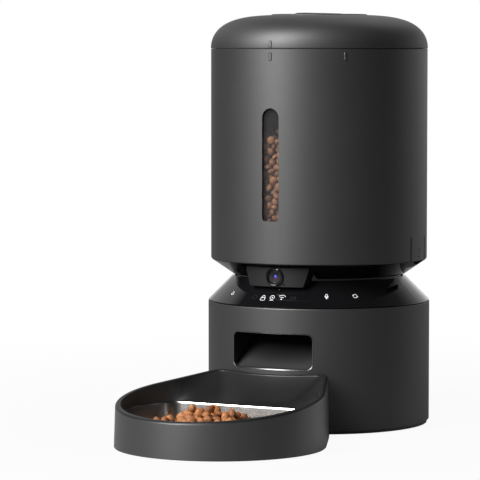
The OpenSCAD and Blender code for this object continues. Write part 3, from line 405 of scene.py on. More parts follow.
# Baked kibble: brown crust with pits and crumbs, each piece with its own tone
def make_kibble_finish(name, pale, deep):
    crumb_scale = 900.0
    pit_scale = 620.0
    crust_bump = 0.7
    crust_relief = 0.0004
    finish, tree, shader = new_finish(name, pale, 0.62)
    place = object_place(tree)
    tone = node(tree, "ShaderNodeAttribute", {"attribute_name": "tone"}).outputs["Fac"]
    crumb = node(tree, "ShaderNodeTexNoise", Vector=place, Scale=crumb_scale,
                 Detail=4.0, Roughness=0.65).outputs[0]
    pits = node(tree, "ShaderNodeTexVoronoi", Vector=place, Scale=pit_scale)
    spots = math_node(tree, "MULTIPLY_ADD", crumb, 0.8, -0.4, clamp=True)
    mixed = math_node(tree, "ADD", spots, tone, clamp=True)
    tree.links.new(mix_colour(tree, mixed, pale, deep), shader.inputs["Base Color"])
    hollow = remap(tree, pits.outputs["Distance"], 0.0, 0.5, 0.0, 1.0)
    bump(tree, shader, math_node(tree, "ADD", hollow, crumb), crust_bump, crust_relief)
    tree.links.new(remap(tree, crumb, 0.3, 0.7, 0.5, 0.75), shader.inputs["Roughness"])
    return finish


TRAY_CASING = make_tray_finish()
LENS_PAINTED_GLINT = make_lens_painted_glint()
# One food in two copies: the tank's copy is toned apart from the bowl's to make up for the light behind the
# window, as painted light and shade
KIBBLE_TANK = make_kibble_finish("kibble_tank", (0.31, 0.137, 0.054), (0.16, 0.064, 0.025))
KIBBLE_BOWL = make_kibble_finish("kibble_bowl", (0.40, 0.155, 0.046), (0.17, 0.055, 0.016))
# A darker copy of the kibble finish for the food under the loose pieces: painted shade between them
FOOD_SHADE = make_kibble_finish("kibble_shade", (0.17, 0.072, 0.030), (0.09, 0.036, 0.015))


# Rays that see the white surroundings; gloss may see a share of them
def seen_rays(tree, in_gloss=1.0):
    path = node(tree, "ShaderNodeLightPath")
    gloss = math_node(tree, "MULTIPLY", path.outputs["Is Glossy Ray"], in_gloss)
    shiny = math_node(tree, "ADD", gloss, path.outputs["Is Transmission Ray"])
    return math_node(tree, "ADD", path.outputs["Is Camera Ray"], shiny, clamp=True)


# A pale floor, white to the eye, that keeps a faint shadow near the part
def add_floor():
    half = 6.0
    gloss_share = 0.10
    near, far = 0.2, 0.8
    white_near = 0.95
    mesh = bpy.data.meshes.new("studio_floor")
    corners = [(-half, -half, 0), (half, -half, 0), (half, half, 0), (-half, half, 0)]
    mesh.from_pydata(corners, [], [(0, 1, 2, 3)])
    floor = bpy.data.objects.new("studio_floor", mesh)
    scene.collection.objects.link(floor)
    finish = bpy.data.materials.new("studio_floor")
    finish.use_nodes = True
    tree = finish.node_tree
    tree.nodes.clear()
    seen = seen_rays(tree, gloss_share)
    away = node(tree, "ShaderNodeVectorMath", {"operation": "LENGTH"})
    tree.links.new(object_place(tree), away.inputs[0])
    fade = remap(tree, away.outputs["Value"], near, far, white_near, 1.0)
    matte = node(tree, "ShaderNodeBsdfDiffuse", Color=rgba(grey(0.20)))
    glow = node(tree, "ShaderNodeEmission", Color=rgba(grey(1.0)), Strength=1.0)
    both = tree.nodes.new("ShaderNodeMixShader")
    tree.links.new(math_node(tree, "MULTIPLY", seen, fade), both.inputs[0])
    tree.links.new(matte.outputs[0], both.inputs[1])
    tree.links.new(glow.outputs[0], both.inputs[2])
    out = tree.nodes.new("ShaderNodeOutputMaterial")
    tree.links.new(both.outputs[0], out.inputs["Surface"])
    mesh.materials.append(finish)
    floor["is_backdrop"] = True


# White to the eye; in gloss a dark room, with a pale backdrop low behind the object and a card at the left
def set_sky():
    backdrop_way = (0.03, 1.0, 0.0)
    card_way = (-0.75, 0.50, 0.43)
    card_tone = 0.65
    high_tone = 0.15
    room_tone = 0.012
    fill_tone = 0.22
    world = bpy.data.worlds.new("studio_sky")
    scene.world = world
    world.use_nodes = True
    tree = world.node_tree
    tree.nodes.clear()
    path = node(tree, "ShaderNodeLightPath")
    facing = node(tree, "ShaderNodeTexCoord").outputs["Generated"]
    behind = remap(tree, towards(tree, facing, backdrop_way), 0.35, 0.9, 0.0, 1.0)
    height = node(tree, "ShaderNodeSeparateXYZ", Vector=facing).outputs["Z"]
    low = remap(tree, height, 0.15, 0.65, 1.0, high_tone)
    card = remap(tree, towards(tree, facing, card_way), 0.90, 0.97, 0.0, card_tone)
    share = math_node(tree, "MAXIMUM", math_node(tree, "MULTIPLY", behind, low), card)
    room = mix_colour(tree, share, grey(room_tone), grey(1.0))
    shown = mix_colour(tree, path.outputs["Is Glossy Ray"], grey(1.0), room)
    colour = mix_colour(tree, seen_rays(tree), grey(fill_tone), shown)
    sky = node(tree, "ShaderNodeBackground", Color=colour, Strength=1.0)
    out = tree.nodes.new("ShaderNodeOutputWorld")
    tree.links.new(sky.outputs[0], out.inputs["Surface"])


def soft_box(name, azimuth, elevation, width, height, power, distance=2.0, aim_z=0.18):
    lamp = bpy.data.lights.new(name, "AREA")
    lamp.shape = "RECTANGLE"
    lamp.size = width
    lamp.size_y = height
    lamp.energy = power
    box = bpy.data.objects.new(name, lamp)
    turn = math.radians(azimuth)
    lift = math.radians(elevation)
    flat = distance * math.cos(lift)
    place = Vector((flat * math.sin(turn), -flat * math.cos(turn), aim_z + distance * math.sin(lift)))
    box.location = place
    box.rotation_euler = (Vector((0, 0, aim_z)) - place).to_track_quat("-Z", "Y").to_euler()
    scene.collection.objects.link(box)


# Mesh tools
def add_piece(name, verts, faces, finish, body, smooth=False):
    mesh = bpy.data.meshes.new(name)
    mesh.from_pydata([tuple(v) for v in verts], [], faces)
    mesh.materials.append(finish)
    if smooth:
        mesh.shade_smooth()
    piece = bpy.data.objects.new(name, mesh)
    scene.collection.objects.link(piece)
    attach(piece, body)
    return piece


class Build:
    """Vertices and faces of one piece, gathered part by part."""

    def __init__(self):
        self.verts = []
        self.faces = []

    def add(self, verts, faces):
        start = len(self.verts)
        self.verts += [tuple(v) for v in verts]
        self.faces += [tuple(start + i for i in face) for face in faces]

    def make(self, name, finish, body, slot):
        add_piece(name, self.verts, self.faces, finish, body)


# A place on the sloping panel: u runs right, v up the slope, from a point at an angle from the front
def on_panel(angle, radius):
    slope = (PANEL_OUT_R - WAIST_R) / PANEL_RISE
    length = math.hypot(1.0, slope)
    along = -slope / length
    up = 1.0 / length
    z0 = PANEL_LOW_Z + (PANEL_OUT_R - radius) / slope

    def place(u, v, lift):
        r = radius + v * along + lift * up
        turn = math.radians(angle) + u / radius
        return (r * math.sin(turn), -r * math.cos(turn), z0 + v * up - lift * along)

    return place


# A place on an upright round wall: v is the height above z0
def on_wall(radius, angle, z0):
    def place(u, v, lift):
        turn = math.radians(angle) + u / radius
        r = radius + lift
        return (r * math.sin(turn), -r * math.cos(turn), z0 + v)

    return place


# A place on the lid's rounded side: v is the height above the seam
def on_lid(angle):
    def place(u, v, lift):
        turn = math.radians(angle) + u / LID_R
        r = LID_R * (1 - (max(v, 0.0) / LID_RISE) ** LID_UP) ** (1 / LID_ROUND) + lift
        return (r * math.sin(turn), -r * math.cos(turn), SEAM_Z + v)

    return place


# Points in metres along a path drawn in millimetres, no further apart than the fine step
def finer(path, closed):
    points = [Vector((x * MM, y * MM)) for x, y in path]
    if closed:
        points.append(points[0])
    fine = []
    for a, b in zip(points, points[1:]):
        count = max(1, math.ceil((b - a).length / FINE_STEP))
        fine += [a.lerp(b, k / count) for k in range(count)]
    return fine if closed else fine + [points[-1]]


# A raised line of square section that follows a path drawn in millimetres
def stroke(build, path, width, place, lift, closed=False):
    points = finer(path, closed)
    count = len(points)
    rails = []
    for i, p in enumerate(points):
        before = points[(i - 1) % count] if closed or i else p
        after = points[(i + 1) % count] if closed or i < count - 1 else p
        way = (after - before).normalized()
        side = Vector((-way.y, way.x)) * width * MM / 2
        left, right = p + side, p - side
        rails.append([place(*left, lift), place(*right, lift), place(*right, -SINK), place(*left, -SINK)])
    faces = []
    for i in range(count if closed else count - 1):
        a, b = 4 * i, 4 * ((i + 1) % count)
        for k in range(4):
            m = (k + 1) % 4
            faces.append((a + k, a + m, b + m, b + k))
    if not closed:
        end = 4 * (count - 1)
        faces += [(3, 2, 1, 0), (end, end + 1, end + 2, end + 3)]
    build.add([v for rail in rails for v in rail], faces)


# A filled mark with a flat face, drawn as a closed outline round its own middle
def patch(build, outline, place, lift):
    points = finer(outline, True)
    count = len(points)
    middle = sum(points, Vector((0, 0))) / count
    verts = [place(*p, lift) for p in points] + [place(*p, -SINK) for p in points]
    verts += [place(*middle, lift), place(*middle, -SINK)]
    faces = []
    for i in range(count):
        j = (i + 1) % count
        faces += [(i, j, 2 * count), (j, i, count + i), (j, count + i, count + j)]
        faces.append((count + j, count + i, 2 * count + 1))
    build.add(verts, faces)


# A low boss with sloping sides, drawn as a closed outline round its own middle
def boss(build, outline, place, lift, slope):
    points = finer(outline, True)
    count = len(points)
    middle = sum(points, Vector((0, 0))) / count
    verts = [place(*p, -SINK) for p in points] + [place(*p, 0.0) for p in points]
    for i, p in enumerate(points):
        way = (points[(i + 1) % count] - points[i - 1]).normalized()
        verts.append(place(*(p + Vector((-way.y, way.x)) * slope), lift))
    verts += [place(*middle, -SINK), place(*middle, lift)]
    faces = []
    for i in range(count):
        j = (i + 1) % count
        faces.append((j, i, 3 * count))
        for row in (0, count):
            faces.append((row + i, row + j, row + count + j, row + count + i))
        faces.append((2 * count + i, 2 * count + j, 3 * count + 1))
    build.add(verts, faces)


# A closed ring about the upright axis, from a loop of radius and height
def turned_ring(rows, count):
    verts, faces = [], []
    size = len(rows)
    for k in range(count):
        a = 2 * math.pi * k / count
        verts += [(r * math.sin(a), -r * math.cos(a), z) for r, z in rows]
        n = (k + 1) % count
        for m in range(size):
            j = (m + 1) % size
            faces.append((k * size + m, n * size + m, n * size + j, k * size + j))
    return verts, faces


def arc(cx, cy, r, start, end, count=14):
    turns = [math.radians(start + (end - start) * k / count) for k in range(count + 1)]
    return [(cx + r * math.cos(t), cy + r * math.sin(t)) for t in turns]


def ring_path(cx, cy, r, count=20):
    return arc(cx, cy, r, 0, 360 - 360 / count, count - 1)


def pill_path(half_w, half_h):
    top = arc(0, half_h - half_w, half_w, 0, 180, 10)
    return top + arc(0, half_w - half_h, half_w, 180, 360, 10)


def raised(path, rise):
    return [(x, y + rise) for x, y in path]


# A box outline with round corners, and with points along its upper and lower side
def round_box_path(half_w, half_h, corner):
    x, y = half_w - corner, half_h - corner
    path = []
    for side, start in ((1, 0), (-1, 180)):
        path += arc(side * x, side * y, corner, start, start + 90, 8)
        path += [(side * x * (1 - k / 10), side * half_h) for k in range(1, 20)]
        path += arc(-side * x, side * y, corner, start + 90, start + 180, 8)
    return path


# White icons on the panel's skin, and the unlit ones, drawn in millimetres
def add_icons():
    lit, unlit = Build(), Build()
    lift = 0.00005
    line = 0.22

    def draw(build, place, path, closed=False):
        stroke(build, path, line, place, lift, closed)

    def fill(build, place, outline):
        patch(build, outline, place, lift)

    # Power
    place = on_panel(-31.2, 0.0863)
    draw(lit, place, arc(0, -0.3, 1.5, 125, 415))
    draw(lit, place, [(0, 0.1), (0, 1.8)])

    # Cloud
    place = on_panel(-11.8, 0.0875)
    cloud = arc(-1.7, -0.6, 1.1, 90, 270, 8) + [(1.6, -1.7)] + arc(1.7, -0.7, 1.0, -90, 90, 8)
    draw(unlit, place, cloud + arc(0.1, 0.4, 1.5, 20, 160, 8), closed=True)

    # Lock
    place = on_panel(-6.0, 0.0877)
    draw(lit, place, [(-2.0, -2.5), (2.0, -2.5), (2.0, 0.3), (-2.0, 0.3)], closed=True)
    draw(lit, place, [(-1.35, 0.5), (-1.35, 1.1)] + arc(0, 1.2, 1.35, 180, 0, 8) + [(1.35, 0.5)])

    # Camera
    place = on_panel(-0.4, 0.0875)
    draw(lit, place, ring_path(0, 0.6, 2.05), closed=True)
    fill(lit, place, ring_path(0, 0.6, 0.45, 12))
    draw(lit, place, [(-1.7, -2.4), (1.7, -2.4)])

    # Signal
    place = on_panel(5.3, 0.0868)
    for r in (2.2, 4.2):
        draw(lit, place, arc(0, -1.9, r, 136, 44, 10))
    fill(lit, place, ring_path(0, -2.0, 0.5, 12))

    # Battery
    place = on_panel(11.7, 0.0869)
    draw(unlit, place, [(-1.9, -1.1), (1.7, -1.1), (1.7, 1.1), (-1.9, 1.1)], closed=True)
    fill(unlit, place, [(2.0, -0.5), (2.5, -0.5), (2.5, 0.5), (2.0, 0.5)])

    # Microphone
    place = on_panel(30.3, 0.0856)
    draw(lit, place, raised(pill_path(0.75, 1.5), 0.9), closed=True)
    draw(lit, place, arc(0, 0.4, 1.5, 180, 360, 12))
    draw(lit, place, [(0, -1.2), (0, -2.0)])
    draw(lit, place, [(-0.9, -2.1), (0.9, -2.1)])

    # Repeat: two bent arrows, each with a three-cornered tip
    place = on_panel(46.7, 0.0856)
    bend = 1.85
    for start in (20, 200):
        draw(lit, place, arc(0, 0, bend, start, start + 122, 12))
        tip = math.radians(start + 142)
        cx, cy = bend * math.cos(tip), bend * math.sin(tip)
        corners = [tip + a for a in (1.57, 3.67, 5.76)]
        fill(lit, place, [(cx + 0.6 * math.cos(a), cy + 0.6 * math.sin(a)) for a in corners])

    lit.make("panel_icons_lit", MARK_WHITE, "base", "white_plastic")
    unlit.make("panel_icons_unlit", MARK_DIM, "base", "black_plastic")


# Locked and open marks beside the seam, raised a little, with dark outlines round them as painted shade of
# their edges, and a dark gasket ring in the seam gap as painted shade of the seam
def add_seam_marks():
    tank, lid, tank_outline_shade, lid_outline_shade = Build(), Build(), Build(), Build()
    locked, opened = 0.0, 39.6
    tank_mark_z = 0.3148
    lid_mark_top = 5.2
    rise = 0.0004
    line = 0.36
    line_lift = 0.00004
    for angle in (locked, opened):
        place = on_wall(TANK_R, angle, tank_mark_z)
        boss(tank, pill_path(1.25, 3.5), place, rise, rise)
        # Dark outline round each boss: painted shade of its edge
        stroke(tank_outline_shade, pill_path(1.4, 3.65), line, place, line_lift, closed=True)
    place = on_lid(locked)
    boss(lid, [(-1.2, 0.6), (1.2, 0.6)] + arc(0, lid_mark_top, 1.2, 0, 180, 10), place, rise, rise)
    # Dark outline along the lid mark's edge: painted shade
    edge = [(1.35, 0.5), (1.35, lid_mark_top)] + arc(0, lid_mark_top, 1.35, 0, 180, 10) + [(-1.35, 0.5)]
    stroke(lid_outline_shade, edge, line, place, line_lift)
    tank_outline_shade.make("tank_mark_lines", PAINTED_SHADE_BLACK, "tank", "black_plastic")
    lid_outline_shade.make("lid_mark_line", PAINTED_SHADE_BLACK, "lid", "black_plastic")
    tank.make("tank_seam_marks", FINISH["body_grey"], "tank", "body_grey")
    lid.make("lid_seam_mark", LID_CASING, "lid", "body_grey")
    # A dark ring in the seam gap, shaped as a gasket: painted shade of the seam
    seam_shade_ring = [(0.08905, 0.32128), (0.0921, 0.32128), (0.0923, 0.3214),
              (0.0923, 0.32155), (0.0921, 0.32162), (0.08905, 0.32162)]
    verts, faces = turned_ring(seam_shade_ring, 144)
    add_piece("tank_seam_gasket", verts, faces, PAINTED_SHADE_BLACK, "tank")


# A bevelled edge round the chute's opening, which lies on the casing; its section is growth and lift in mm
def add_chute_edge():
    section = ((0.55, -0.12), (0.25, 0.28), (-0.6, -0.04), (-0.6, -0.12))
    half_w = CHUTE_W / 2 / MM
    half_h = (CHUTE_HIGH_Z - CHUTE_LOW_Z) / 2 / MM
    middle = (CHUTE_LOW_Z + CHUTE_HIGH_Z) / 2
    loops = []
    for grow, lift in section:
        r = BASE_R + lift * MM
        path = round_box_path(half_w + grow, half_h + grow, CHUTE_CORNER / MM + grow)
        loops.append([(x * MM, -math.sqrt(r * r - x * x * MM * MM), middle + y * MM) for x, y in path])
    count = len(loops[0])
    faces = []
    for m in range(len(loops)):
        a = m * count
        b = (m + 1) % len(loops) * count
        for k in range(count):
            n = (k + 1) % count
            faces.append((a + k, a + n, b + n, b + k))
    add_piece("chute_edge", [v for loop in loops for v in loop], faces, EDGE_SATIN, "base")


# The thin skin that hinges a release tab to the tank wall at the tab's top
def hinge_skin(angle):
    low, high = TAB_TOP_Z - 0.00037, TAB_TOP_Z + 0.00002
    half_turn = math.asin(TAB_WIDTH / 2 / TANK_R)
    steps = 24
    verts, faces = [], []
    for k in range(steps + 1):
        turn = math.radians(angle) + (2 * k / steps - 1) * half_turn
        for r, z in ((TANK_R, low), (TANK_R, high), (TANK_IN_R, high), (TANK_IN_R, low)):
            verts.append((r * math.sin(turn), -r * math.cos(turn), z))
    for k in range(steps):
        for m in range(4):
            n = (m + 1) % 4
            faces.append((4 * k + m, 4 * k + 4 + m, 4 * k + 4 + n, 4 * k + n))
    end = 4 * steps
    faces += [(0, 1, 2, 3), (end + 3, end + 2, end + 1, end)]
    return verts, faces


# Press arrows on the release tabs, drawn as dark strokes that are painted shade of a moulded arrow; dark
# strips along the slits beside them, painted shade that deepens the slits; and the hinge skins
def add_tab_details():
    skin, slit_shade = Build(), Build()
    arrow_up = 0.0085
    arrow_lift = 0.00006
    slit_angle = 8.8
    slit_lift = 0.00005
    near_shade_width, far_shade_width = 1.6, 3.2
    for side, body in ((1, "right_tab"), (-1, "left_tab")):
        arrow = Build()
        place = on_wall(TANK_R, side * TAB_ANGLE, TANK_LOW_Z + arrow_up)
        # Arrow strokes in the dark finish: painted shade of a moulded arrow
        stroke(arrow, [(-1.6 * side, -2.6), (1.2 * side, 2.4)], 0.8, place, arrow_lift)
        stroke(arrow, [(-0.4 * side, 2.3), (1.2 * side, 2.4), (1.5 * side, 0.8)], 0.8, place, arrow_lift)
        stroke(arrow, [(-2.6, -4.4), (2.6, -4.4)], 0.7, place, arrow_lift)
        arrow.make("press_mark_" + body.split("_")[0], PAINTED_SHADE_BLACK, body, "black_plastic")
        # Dark strips along both edges of each slit: painted shade
        for edge, width in ((-1, near_shade_width), (1, far_shade_width)):
            place = on_wall(TANK_R, side * (TAB_ANGLE + edge * (slit_angle + width / 4)), TANK_LOW_Z)
            stroke(slit_shade, [(0, 0.4), (0, 20.6)], width, place, slit_lift)
        skin.add(*hinge_skin(side * TAB_ANGLE))
    slit_shade.make("tab_slit_shade", PAINTED_SHADE_BLACK, "tank", "black_plastic")
    skin.make("tab_hinge_skin", FINISH["body_grey"], "tank", "body_grey")


# A turned shape about the lens axis, closed on the axis, from radius and depth behind the pod's front in mm
def lens_turned(profile, count=48):
    verts, faces = [], []
    rows = len(profile)
    for k in range(count):
        turn = 2 * math.pi * k / count
        for r, depth in profile:
            verts.append((r * MM * math.cos(turn), -POD_R + depth * MM, LENS_Z + r * MM * math.sin(turn)))
    front, back = len(verts), len(verts) + 1
    for depth in (profile[0][1], profile[-1][1]):
        verts.append((0.0, -POD_R + depth * MM, LENS_Z))
    for k in range(count):
        n = (k + 1) % count
        for m in range(rows - 1):
            faces.append((k * rows + m, n * rows + m, n * rows + m + 1, k * rows + m + 1))
        faces.append((n * rows, k * rows, front))
        faces.append((k * rows + rows - 1, n * rows + rows - 1, back))
    return verts, faces


# Cover glass, bezel lip, a dark disc as painted shade of the microphone hole, stepped baffle rings and
# coated pupil; radii and depths in mm
def add_lens():
    glass_r = 5.5
    glass_half = 0.25
    glass_bow = 0.5
    shares = np.linspace(0.1, 1.0, 7)
    glass = [(glass_r * a, -glass_half + glass_bow * a * a) for a in shares]
    glass += [(glass_r * a, glass_half + glass_bow * a * a) for a in shares[::-1]]
    verts, faces = lens_turned(glass)
    cover = add_piece("lens_cover_glass", verts, faces, FINISH["lens_coated"], "base",
                      smooth=True)
    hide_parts("lens_glass")

    lip = [(6.6, -1.0), (6.6, -1.5), (6.85, -1.55), (8.0, -1.13), (8.05, -0.9)]
    verts, faces = turned_ring([(r * MM, depth * MM) for r, depth in lip], 64)
    verts = [(x, -POD_R + depth, LENS_Z - y) for x, y, depth in verts]
    add_piece("lens_bezel_lip", verts, faces, LIP_GLOSS, "base")

    # A dark disc below the lens: painted shade of the microphone hole
    hole_shade = Build()
    hole_angle, hole_drop = 3.0, 0.0104
    patch(hole_shade, ring_path(0, 0, 0.55, 16), on_wall(POD_R, hole_angle, LENS_Z - hole_drop), 0.00003)
    hole_shade.make("microphone_hole", PAINTED_SHADE_BLACK, "base", "black_plastic")

    pupil_r = 1.7
    pupil_depth = 1.95
    step = 0.8
    rings = [(pupil_r, pupil_depth)]
    for r in (1.7, 2.5, 3.3, 4.1):
        depth = pupil_depth - (r - pupil_r) * 0.35
        rings += [(r, depth - 0.2), (r + step, depth - 0.28)]
    rings += [(glass_r, 0.85), (glass_r, 7.2), (1.0, 7.2)]
    verts, faces = lens_turned(rings)
    barrel = add_piece("lens_barrel_rings", verts, faces, RING_GREY, "base")
    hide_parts("lens_barrel")

    dome_r = 1.65
    turns = np.linspace(0.12, math.pi / 2, 8)
    dome = [(dome_r * math.sin(a), 1.75 - 0.85 * math.cos(a)) for a in turns]
    verts, faces = lens_turned(dome + [(dome_r, 1.94), (0.4, 1.94)])
    add_piece("lens_pupil", verts, faces, LENS_PAINTED_GLINT, "base", smooth=True)


# Kibble shapes of radius 1: flattened baked rounds, each a little lumpy, in four thicknesses and widths
def kibble_shapes(count, detail, thick, lumps):
    broad_scale, fine_scale = 1.3, 3.6
    fine_share = 0.3
    blunt = 0.85
    narrow = 0.86
    shapes = []
    for k in range(count):
        ball = bmesh.new()
        bmesh.ops.create_icosphere(ball, subdivisions=detail, radius=1.0)
        offset = Vector((7.3 * k, 3.1 * k, 1.7 * k))
        more = 0.04 * (k % 4)
        points = []
        for v in ball.verts:
            p = v.co.copy()
            broad = noise.noise(p * broad_scale + offset)
            fine = noise.noise(p * fine_scale + offset)
            swell = 1.0 + lumps * broad + fine_share * lumps * fine
            height = math.copysign(abs(p.z) ** blunt, p.z) * (thick + more)
            points.append((p.x * swell, p.y * swell * (narrow + more), height * swell))
        shapes.append((np.array(points), [tuple(v.index for v in f.verts) for f in ball.faces]))
        ball.free()
    return shapes


# Lets round pieces down one after another; each rolls a little way to where it lies lowest
def pile_up(starts, radii, bed, keep_inside, roll):
    step = 0.0005
    least_drop = 0.00002
    placed = np.zeros((len(radii), 3))
    ways = [(math.cos(a), math.sin(a)) for a in np.linspace(0, 2 * math.pi, 8, endpoint=False)]

    def rest_height(spot, i):
        gap = np.hypot(placed[:i, 0] - spot[0], placed[:i, 1] - spot[1])
        reach = radii[:i] + radii[i]
        near = gap < reach
        low = bed(spot) + radii[i]
        return (placed[:i, 2][near] + np.sqrt(reach[near] ** 2 - gap[near] ** 2)).max(initial=low)

    for i, start in enumerate(starts):
        spot = keep_inside(start, radii[i])
        height = rest_height(spot, i)
        for _ in range(int(roll / step)):
            tries = [keep_inside((spot[0] + step * x, spot[1] + step * y), radii[i]) for x, y in ways]
            heights = [rest_height(t, i) for t in tries]
            best = int(np.argmin(heights))
            if heights[best] > height - least_drop:
                break
            spot, height = tries[best], heights[best]
        placed[i] = (spot[0], spot[1], height)
    return placed


# One piece of many kibbles, each turned, tilted and toned by chance
def add_heap(name, points, radii, shapes, finish, body, rng, tilt, facing=None):
    full_turn = 6.28
    mean_tone, tone_spread = 0.5, 0.22
    build = Build()
    tones = []
    for point, radius in zip(points, radii):
        verts, faces = shapes[int(rng.integers(len(shapes)))]
        spin = Euler((rng.normal(0, tilt), rng.normal(0, tilt), rng.uniform(0, full_turn)))
        turn = np.array(spin.to_matrix())
        if facing is not None:
            turn = np.array(facing(point).to_matrix()) @ turn
        build.add((verts * radius) @ turn.T + point, faces)
        tones += [float(rng.normal(mean_tone, tone_spread))] * len(verts)
    piece = add_piece(name, build.verts, build.faces, finish, body, smooth=True)
    layer = piece.data.attributes.new("tone", "FLOAT", "POINT")
    layer.data.foreach_set("value", tones)


# A closed lumpy body of revolution, for the food that the loose pieces lie on, in a darker copy of the
# kibble finish that is painted shade between the pieces
def food_mass(name, rows, centre, flat, body, slope=0.0):
    count = 96
    lump_size, lump_scale = 0.02, 160
    inner = len(rows) - 2
    bottom, top = rows[0][1], rows[-1][1]
    verts, faces = [], []
    for k in range(count):
        a = 2 * math.pi * k / count
        for r, z in rows[1:-1]:
            x, y = r * math.sin(a), -r * math.cos(a) * flat
            lump = 1.0 + lump_size * noise.noise(Vector((x, y, z)) * lump_scale)
            share = (z - bottom) / (top - bottom)
            verts.append((centre[0] + x * lump, centre[1] + y * lump, z - slope * y * share))
    verts += [(centre[0], centre[1], bottom), (centre[0], centre[1], top)]
    for k in range(count):
        n = (k + 1) % count
        for m in range(inner - 1):
            faces.append((k * inner + m, n * inner + m, n * inner + m + 1, k * inner + m + 1))
        faces.append((n * inner, k * inner, len(verts) - 2))
        faces.append((k * inner + inner - 1, n * inner + inner - 1, len(verts) - 1))
    add_piece(name, verts, faces, FOOD_SHADE, body, smooth=True)


def spots_round(reach, turn):
    return np.stack([reach * np.sin(turn), -reach * np.cos(turn)], axis=1)


# Food in the tank: pieces against the window, a top layer, and the mass inside in painted shade
def add_tank_food():
    rng = np.random.default_rng(41)
    wall = TANK_IN_R - 0.0022
    low = WINDOW_LOW_Z - 0.004
    full = 0.2525
    column_half = 0.225
    column_deep = 0.0765
    top_z = 0.2270
    top_slope = 0.16
    # Share of its radius at which a piece meets its neighbours
    nest_window, nest_top = 0.74, 0.82

    count = 820
    turn = rng.uniform(-column_half, column_half, count)
    reach = rng.uniform(column_deep, wall - 0.003, count)
    radii = rng.uniform(0.0034, 0.0043, count)

    def keep_in_column(spot, radius):
        r = min(max(math.hypot(*spot), column_deep), wall - radius)
        angle = min(max(math.atan2(spot[0], -spot[1]), -column_half), column_half)
        return r * math.sin(angle), -r * math.cos(angle)

    starts = spots_round(reach, turn)
    points = pile_up(starts, radii * nest_window, lambda spot: low, keep_in_column, roll=0.006)
    kept = points[:, 2] < full - radii
    points, radii = points[kept], radii[kept]

    def face_window(point):
        return Vector((point[0], point[1], 0.0)).to_track_quat("Z", "Y")

    shapes = kibble_shapes(8, detail=2, thick=0.52, lumps=0.07)
    add_heap("tank_food_window", points, radii, shapes, KIBBLE_TANK, "tank", rng, tilt=0.7,
             facing=face_window)

    count = 420
    reach = 0.084 * np.sqrt(rng.uniform(0, 1, count))
    turn = rng.uniform(0, 2 * math.pi, count)
    radii = rng.uniform(0.0036, 0.0042, count)

    def bed(spot):
        return top_z - top_slope * spot[1]

    def keep_on_bed(spot, radius):
        front = abs(math.atan2(spot[0], -spot[1])) < column_half + 0.05
        most = column_deep - 0.004 if front else wall - radius * 0.9
        share = min(1.0, most / max(math.hypot(*spot), 1e-6))
        return spot[0] * share, spot[1] * share

    points = pile_up(spots_round(reach, turn), radii * nest_top, bed, keep_on_bed, roll=0.004)
    shapes = kibble_shapes(6, detail=1, thick=0.56, lumps=0.07)
    add_heap("tank_food_top", points, radii, shapes, KIBBLE_TANK, "tank", rng, tilt=0.5)

    rows = [(0.0, 0.1735), (0.058, 0.1735), (0.0725, 0.1765), (0.0735, 0.190),
            (0.0735, 0.2245), (0.070, 0.2275), (0.035, 0.2280), (0.0, 0.2280)]
    food_mass("tank_food_mass", rows, (0.0, 0.0), 1.0, "tank", top_slope)


# Food in the bowl: a heap left of the middle, with bare steel at the right
def add_bowl_food():
    rng = np.random.default_rng(7)
    centre = np.array([-0.0145, -0.186])
    wide, deep = 0.044, 0.038
    rise = 0.0070
    edge_power = 5.0
    # Share of its radius at which a piece meets its neighbours
    nest = 0.82
    mass_flat = 0.84
    room_r = 0.066
    lean = math.radians(27.6)
    across = np.array([math.cos(lean), math.sin(lean)])
    along = np.array([-math.sin(lean), math.cos(lean)])

    def bed(spot):
        gap = np.array(spot) - centre
        away = math.hypot(gap @ across / wide, gap @ along / deep)
        return BOWL_FLOOR_Z + rise * max(0.0, 1.0 - away ** edge_power) - 0.001

    count = 200
    reach = 1.02 * np.sqrt(rng.uniform(0, 1, count))
    turn = rng.uniform(0, 2 * math.pi, count)
    starts = centre + np.outer(reach * wide * np.cos(turn), across)
    starts += np.outer(reach * deep * np.sin(turn), along)
    radii = rng.uniform(0.0038, 0.0050, count)
    middle = np.array([0.0, BOWL_CENTRE_Y])

    def keep_in_bowl(spot, radius):
        gap = np.array(spot) - middle
        most = (room_r - radius) / max(float(np.linalg.norm(gap)), 1e-6)
        x, y = middle + gap * min(1.0, most)
        return x, min(y, BOWL_BACK_Y - radius)

    points = pile_up(starts, radii * nest, bed, keep_in_bowl, roll=0.009)
    shapes = kibble_shapes(12, detail=2, thick=0.62, lumps=0.32)
    add_heap("bowl_food", points, radii, shapes, KIBBLE_BOWL, "bowl", rng, tilt=0.9)

    low = BOWL_FLOOR_Z + 0.0003
    rows = [(0.0, low), (0.046, low)]
    rows += [(wide * a, BOWL_FLOOR_Z + rise * (1.0 - a ** edge_power)) for a in (0.95, 0.85, 0.7, 0.5, 0.3)]
    rows += [(0.0, BOWL_FLOOR_Z + rise)]
    food_mass("bowl_food_mass", rows, tuple(centre), mass_flat, "bowl")


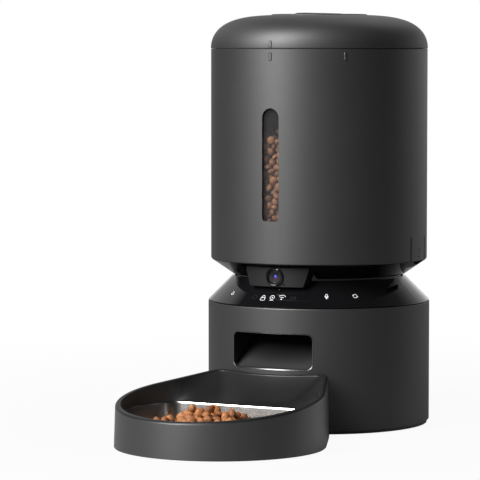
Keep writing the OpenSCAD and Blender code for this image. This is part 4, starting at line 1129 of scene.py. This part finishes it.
# A modifier's node group that smooths the edges under an angle and leaves the others sharp
def smooth_under(angle):
    group = bpy.data.node_groups.new("smooth_under_angle", "GeometryNodeTree")
    for side in ("INPUT", "OUTPUT"):
        group.interface.new_socket("Geometry", in_out=side, socket_type="NodeSocketGeometry")
    entry = group.nodes.new("NodeGroupInput")
    leave = group.nodes.new("NodeGroupOutput")
    edge = group.nodes.new("GeometryNodeInputMeshEdgeAngle")
    test = group.nodes.new("FunctionNodeCompare")
    test.data_type = "FLOAT"
    test.operation = "LESS_THAN"
    test.inputs["B"].default_value = math.radians(angle)
    whole = group.nodes.new("GeometryNodeSetShadeSmooth")
    edges = group.nodes.new("GeometryNodeSetShadeSmooth")
    edges.domain = "EDGE"
    group.links.new(edge.outputs["Unsigned Angle"], test.inputs["A"])
    group.links.new(entry.outputs[0], whole.inputs["Geometry"])
    group.links.new(whole.outputs[0], edges.inputs["Geometry"])
    group.links.new(test.outputs["Result"], edges.inputs["Shade Smooth"])
    group.links.new(edges.outputs[0], leave.inputs[0])
    return group


# Smooth shading for a lofted piece, without the facets' own normals
def smooth_loft(piece, smoother, rim=False):
    if "custom_normal" in piece.data.attributes:
        piece.data.attributes.remove(piece.data.attributes["custom_normal"])
    weld = piece.modifiers.new("join_facets", "WELD")
    weld.merge_threshold = 0.000002
    if rim:
        edge = piece.modifiers.new("soft_rim", "BEVEL")
        edge.width = 0.0006
        edge.segments = 3
        edge.limit_method = "ANGLE"
        edge.angle_limit = math.radians(40)
    blend = piece.modifiers.new("smooth_facets", "NODES")
    blend.node_group = smoother
    even = piece.modifiers.new("even_shading", "WEIGHTED_NORMAL")
    even.mode = "FACE_AREA"
    even.weight = 80
    even.keep_sharp = True


# Finishes for the CAD pieces, by their slots or as their own
def dress_cad():
    slots = {row["node"]: row["material_slot"] for row in frame["record"]["subparts"]}
    own = {"camera_pod": POD_SATIN, "lens_bezel": BEZEL_BLACK, "bowl_tray": TRAY_CASING,
           "chute": CHUTE_SATIN, "lid_shell": LID_CASING}
    for name, piece in nodes.items():
        piece.data.materials.clear()
        piece.data.materials.append(own.get(name) or FINISH[slots[name]])
    smoother = smooth_under(32.0)
    for name in ("bowl_tray", "steel_bowl", "chute"):
        smooth_loft(nodes[name], smoother, rim=name == "chute")


set_camera()
add_floor()
set_sky()
soft_box("key_left", azimuth=-23, elevation=35, width=0.8, height=1.65, power=94)
soft_box("fill_back", azimuth=186, elevation=48, width=1.0, height=0.8, power=3)
dress_cad()
add_icons()
add_seam_marks()
add_chute_edge()
add_tab_details()
add_lens()
add_tank_food()
add_bowl_food()

scene.view_settings.view_transform = "Standard"
boxes = {"cad": cad_box, "visual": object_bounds()}
{key: [list(corner) for corner in box] for key, box in boxes.items()}
